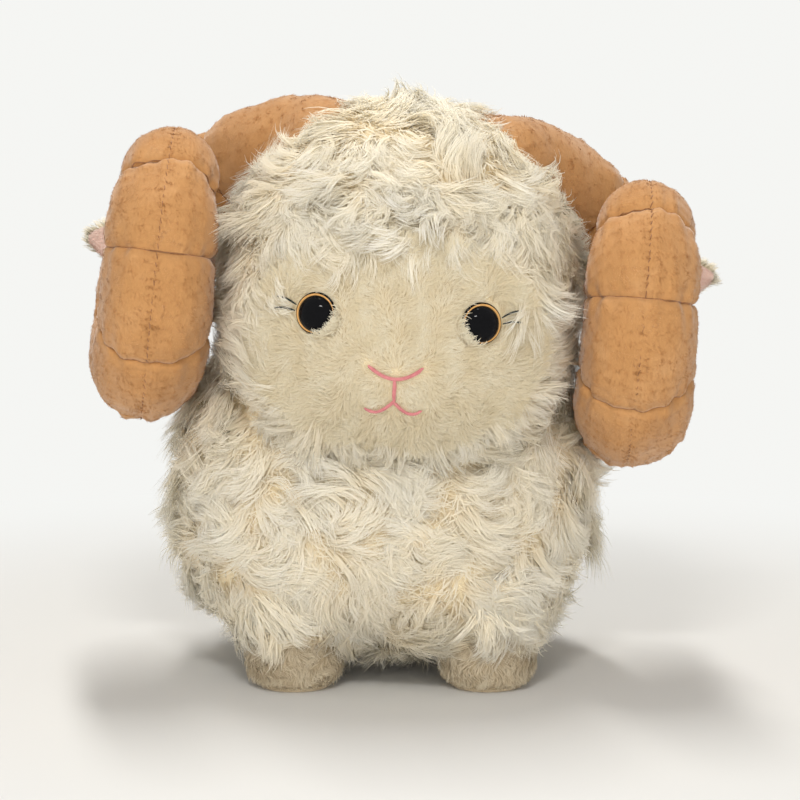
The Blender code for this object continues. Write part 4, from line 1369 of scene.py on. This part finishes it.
def make_horn_nap(side):
    """A fine nap over a whole horn, shorter beside the seams, and darker there as painted shade in the seams'
    grooves.
    """
    rng = np.random.default_rng(400 + side)
    step = 0.004
    spots = []
    for panel in range(panel_count):
        arc = horn_seam_degrees[panel + 1] - horn_seam_degrees[panel]
        count = int(250 * arc)
        share, turn = rng.uniform(0, 1, count), rng.uniform(0, math.tau, count)
        here = horn_points(side, panel, share, turn)
        ahead = horn_points(side, panel, np.minimum(share + step, 1.0), turn)
        behind = horn_points(side, panel, np.maximum(share - step, 0.0), turn)
        around = horn_points(side, panel, share, turn + step) - horn_points(side, panel, share, turn - step)
        along = unit(ahead - behind)
        normals = unit(np.cross(around, along)) * side
        near = np.minimum(share, 1 - share) * math.radians(arc) * horn_loop_radius
        free = (head_form.depth(here) > 1.02) & (near > 0.0004)
        spots.append([part[free] for part in (here, normals, along, near)])
    places, normals, along, near = (np.concatenate(part) for part in zip(*spots))
    heading = turned(tangent(-along, normals), normals, 0.8 * wander(places, 0.022, 41) + 0.4)
    full = 0.45 + 0.55 * eased(near, 0.0004, 0.0030)
    strands = sow_pile(places, normals, heading, 0.0019 * full, 0.0006 * full, 0.00034, rng, 2, 0.3, 0.20)
    # The nap's light and dark patches are partly random tone and partly painted sheen of the pile's direction.
    shades = 0.50 + 0.13 * wander(places, 0.020, 42) + 0.09 * wander(places, 0.006, 43)
    # Painted shade: the nap darkens toward each seam, where its groove is shaded.
    shades += rng.normal(0, 0.12, len(places)) - 0.45 * np.exp(-(near / 0.0012) ** 2)
    plant("horn_nap_" + SIDE_NAMES[side], strands, shades, horn_nap_finish, "sheep")


def make_horn(side):
    even = np.linspace(0, 1, horn_rings)
    closer_at_seams = even - 0.11 * np.sin(math.tau * even)
    turn = np.arange(horn_sides) / horn_sides * math.tau
    share, around = np.meshgrid(closer_at_seams, turn, indexing="ij")
    for panel in range(panel_count):
        points = horn_points(side, panel, share, around).reshape(-1, 3)
        faces = grid_quads(horn_rings, horn_sides, True)[:, ::side].tolist()
        first = list(range(horn_sides))
        faces += [first[::-side], [len(points) - 1 - index for index in first][::-side]]
        label = SIDE_NAMES[side] + "_" + str(panel + 1)
        mesh = face_mesh("horn_cover_" + label, points, faces)
        add_piece("horn_cover_" + label, mesh, horn_velvet, "sheep", ["horn_panel_" + label])


# Legs

def leg_outline():
    """The leg's profile of (radius, height), from its top down to the edge of its sole."""
    bottom = sole_thickness + seam_gap
    full, foot, sole = leg_width / 2, foot_width / 2, sole_width / 2
    points = [(full * 0.6, leg_height), (full, leg_height * 0.9), (full, leg_height / 2)]
    points.append((foot + 0.0003, foot_round_height * 1.5))
    for turn in np.linspace(0, math.pi / 2, 13):
        height = bottom + (foot_round_height - bottom) * (1 - math.sin(turn))
        points.append((sole + (foot - sole) * math.cos(turn), height))
    return points


def make_cuff(name, x, y):
    """Body locks that hang over the top of a leg."""
    cuff = Form((x, y, 0.037), (0.0262, 0.0262, 0.026), (2.0, 2.4, 2.4))
    outward = unit(np.array([x - body_centre[0], y - body_centre[1], 0]))

    def room(points):
        side = (points - cuff.centre) @ outward
        return (body_form.depth(points) > 0.97) & (points[:, 2] > 0.024) & (side > -0.006)

    plant_fleece(name + "_cuff", grow_locks(cuff, cuff_fleece, body_flow, room, 700 + len(name)))


def make_leg(name, x, y):
    outline = leg_outline()
    edge = sole_width / 2
    sole = [(0.0002, 0.0), (edge - round_edge, 0.0), (edge, round_edge)]
    sole += [(edge, sole_thickness), (0.0002, sole_thickness)]
    for kind, profile, stands_for, fill in (
        ("_skin", outline[::-1], "_cover", 0.9),
        ("_sole_disc", sole, "_sole", None),
    ):
        points, faces = lathe(profile, 48)
        mesh = face_mesh(name + kind, points + [x, y, 0], faces)
        add_piece(name + kind, mesh, foot_backing, "sheep", [name + stands_for])
    rng = np.random.default_rng(int((x + 1) * 1000 + (y + 1) * 7000))
    line = np.array(outline)
    steps = np.r_[0, np.cumsum(np.linalg.norm(np.diff(line, axis=0), axis=1))]
    count = 9000
    at = rng.uniform(0.25, 1, count) * steps[-1]
    here, ahead, behind = (
        np.array([np.interp(at + shift, steps, part) for part in line.T]) for shift in (0, 0.001, -0.001)
    )
    slope = ahead - behind
    turn = rng.uniform(0, math.tau, count)
    ray = np.stack([np.cos(turn), np.sin(turn), np.zeros(count)], axis=1)
    up = np.array([0, 0, 1.0])
    normals = unit(ray * -slope[1][:, None] + up * slope[0][:, None])
    down = unit(ray * slope[0][:, None] + up * slope[1][:, None])
    places = ray * here[0][:, None] + up * here[1][:, None] + [x, y, 0]
    free = body_form.depth(places) > 0.97
    places, normals, down = places[free], normals[free], down[free]
    heading = turned(down, normals, 0.75 * wander(places, 0.016, 61))
    low = eased(places[:, 2], 0.002, 0.010)
    length, lift = 0.0026 + 0.0026 * low, 0.0010 + 0.0014 * low
    strands = sow_pile(places, normals, heading, length, lift, 0.00048, rng, twist=0.6)
    shades = 0.5 + 0.2 * wander(places, 0.010, 62) + rng.normal(0, 0.16, len(places))
    plant(name + "_pile", strands, shades, foot_finish, "sheep")


# Tail

def make_tail():
    low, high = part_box("tail")
    centre = ((low.x + high.x) / 2, high.y - tail_half[1], (low.z + high.z) / 2)
    tail_form = Form(centre, np.array(tail_half) - 0.001, (2.0, 2.0, 2.0))
    points, triangles = tail_form.ball(4)
    mesh = face_mesh("tail_skin", points, triangles.tolist())
    add_piece("tail_skin", mesh, fleece_backing, "tail", ["tail"])
    plant_fleece("tail_fleece", grow_locks(tail_form, tail_fleece, body_flow, outside_body, 505), "tail")


# Ears

def ear_hinge(side):
    top_share = head_form.shares[1]
    level = (1 - (ear_rise / head_half[2]) ** top_share) ** (1 / top_share)
    used = (ear_setback / head_half[1]) ** head_form.shares[0]
    reach = head_half[0] * (level ** head_form.shares[0] - used) ** (1 / head_form.shares[0])
    place = Matrix.Translation((side * (reach + 0.0008), ear_setback, ear_rise))
    turn_out = 0 if side == LEFT else math.pi
    turn = Matrix.Rotation(turn_out, 4, "Z") @ Matrix.Rotation(-ear_lift, 4, "Y")
    return head_matrix @ place @ turn @ Matrix.Rotation(side * ear_twist, 4, "X")


def ear_surface(share, turn):
    """Points of the leaf in the ear's own frame. A turn of 0 to pi is its +Y half."""
    lean = np.clip(share, 1e-6, 1 - 1e-6) ** (math.log(1 / 2) / math.log(ear_fullest_share))
    root = ear_root_share * (1 - share)
    width = root + (1 - root) * np.sin(math.pi * lean) ** ear_round_share
    return np.stack([
        ear_length * share - ear_thickness * (1 - share),
        np.sin(turn) * width * ear_thickness / 2,
        np.cos(turn) * width * ear_width / 2,
    ], axis=-1)


def make_ear_half(side, kind, layer, backing):
    """The fleece back or the lining of an ear, a thin stuffed leaf on one side of its middle plane."""
    matrix = np.array(ear_hinge(side))
    rings, columns = 28, 25
    share = ear_start + (0.996 - ear_start) * np.sin(np.linspace(0, 1, rings) * math.pi / 2)
    turn = np.linspace(0, math.pi, columns) * layer
    points = ear_surface(*np.meshgrid(share, turn, indexing="ij")).reshape(-1, 3)
    flat = points.copy()
    flat[:, 1] = layer * seam_gap / 2
    quads = grid_quads(rings, columns, False)
    faces = quads[:, ::layer].tolist() + (quads[:, ::-layer] + len(points)).tolist()
    label, body = SIDE_NAMES[side], "ear_" + SIDE_NAMES[side]
    name = "ear_" + kind + "_skin_" + label
    mesh = face_mesh(name, moved(np.concatenate([points, flat]), matrix), faces)
    add_piece(name, mesh, backing, body, ["ear_" + kind + "_" + label])
    rng = np.random.default_rng(600 + side + (10 if kind == "back" else 0))
    count = 5200 if kind == "back" else 4200
    spot = ear_start + (0.985 - ear_start) * rng.uniform(0, 1, count)
    spin = rng.uniform(0.0, math.pi, count) * layer
    step = 0.01
    here = ear_surface(spot, spin)
    along = ear_surface(spot + step, spin) - ear_surface(spot - step, spin)
    around = ear_surface(spot, spin + step) - ear_surface(spot, spin - step)
    normals = unit(np.cross(around, along))
    normals *= np.sign((normals * here * [0, 1, 1]).sum(1, keepdims=True))
    normals = normals @ matrix[:3, :3].T
    here = moved(here, matrix)
    heading = tangent(unit(along) @ matrix[:3, :3].T, normals)
    if kind == "back":
        heading = turned(heading, normals, 0.8 * wander(here, 0.02, 71))
        strands = sow_pile(here, normals, heading, 0.0085 * (1 - 0.6 * spot), 0.0040, 0.0005, rng, stops=5)
        finish = fleece_finish
    else:
        heading = turned(heading, normals, 0.4 * wander(here, 0.02, 72))
        strands = sow_pile(here, normals, heading, 0.0030 * (1 - 0.5 * spot), 0.0010, 0.0004, rng, stops=3)
        finish = pink_finish
    shades = 0.55 + 0.15 * wander(here, 0.01, 73) + rng.normal(0, 0.15, count)
    plant("ear_" + kind + "_pile_" + label, strands, shades, finish, body)


def make_ear(side):
    make_ear_half(side, "back", side, fleece_backing)
    make_ear_half(side, "lining", -side, pink_backing)


def dress_inner_nodes():
    """The stuffing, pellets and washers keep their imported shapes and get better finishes."""
    finishes = {"stuffing": fill_finish, "pellet_bag": pellet_finish, "eye_washer": white_plastic}
    for name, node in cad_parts.items():
        for word, finish in finishes.items():
            if word in name:
                node.data.materials.clear()
                node.data.materials.append(finish)


make_camera()
make_stage()
make_light()
make_body()
make_head()
make_face()
make_mouth()
for sheep_side in (LEFT, RIGHT):
    make_eye(sheep_side)
    make_lashes(sheep_side)
    make_eye_fringe(sheep_side)
    make_horn(sheep_side)
    make_horn_nap(sheep_side)
    make_seam_threads(sheep_side)
    make_ear(sheep_side)
for leg_name, leg_place in leg_places.items():
    make_leg(leg_name, *leg_place)
    make_cuff(leg_name, *leg_place)
make_tail()
dress_inner_nodes()

bpy.context.scene.view_settings.view_transform = "Standard"
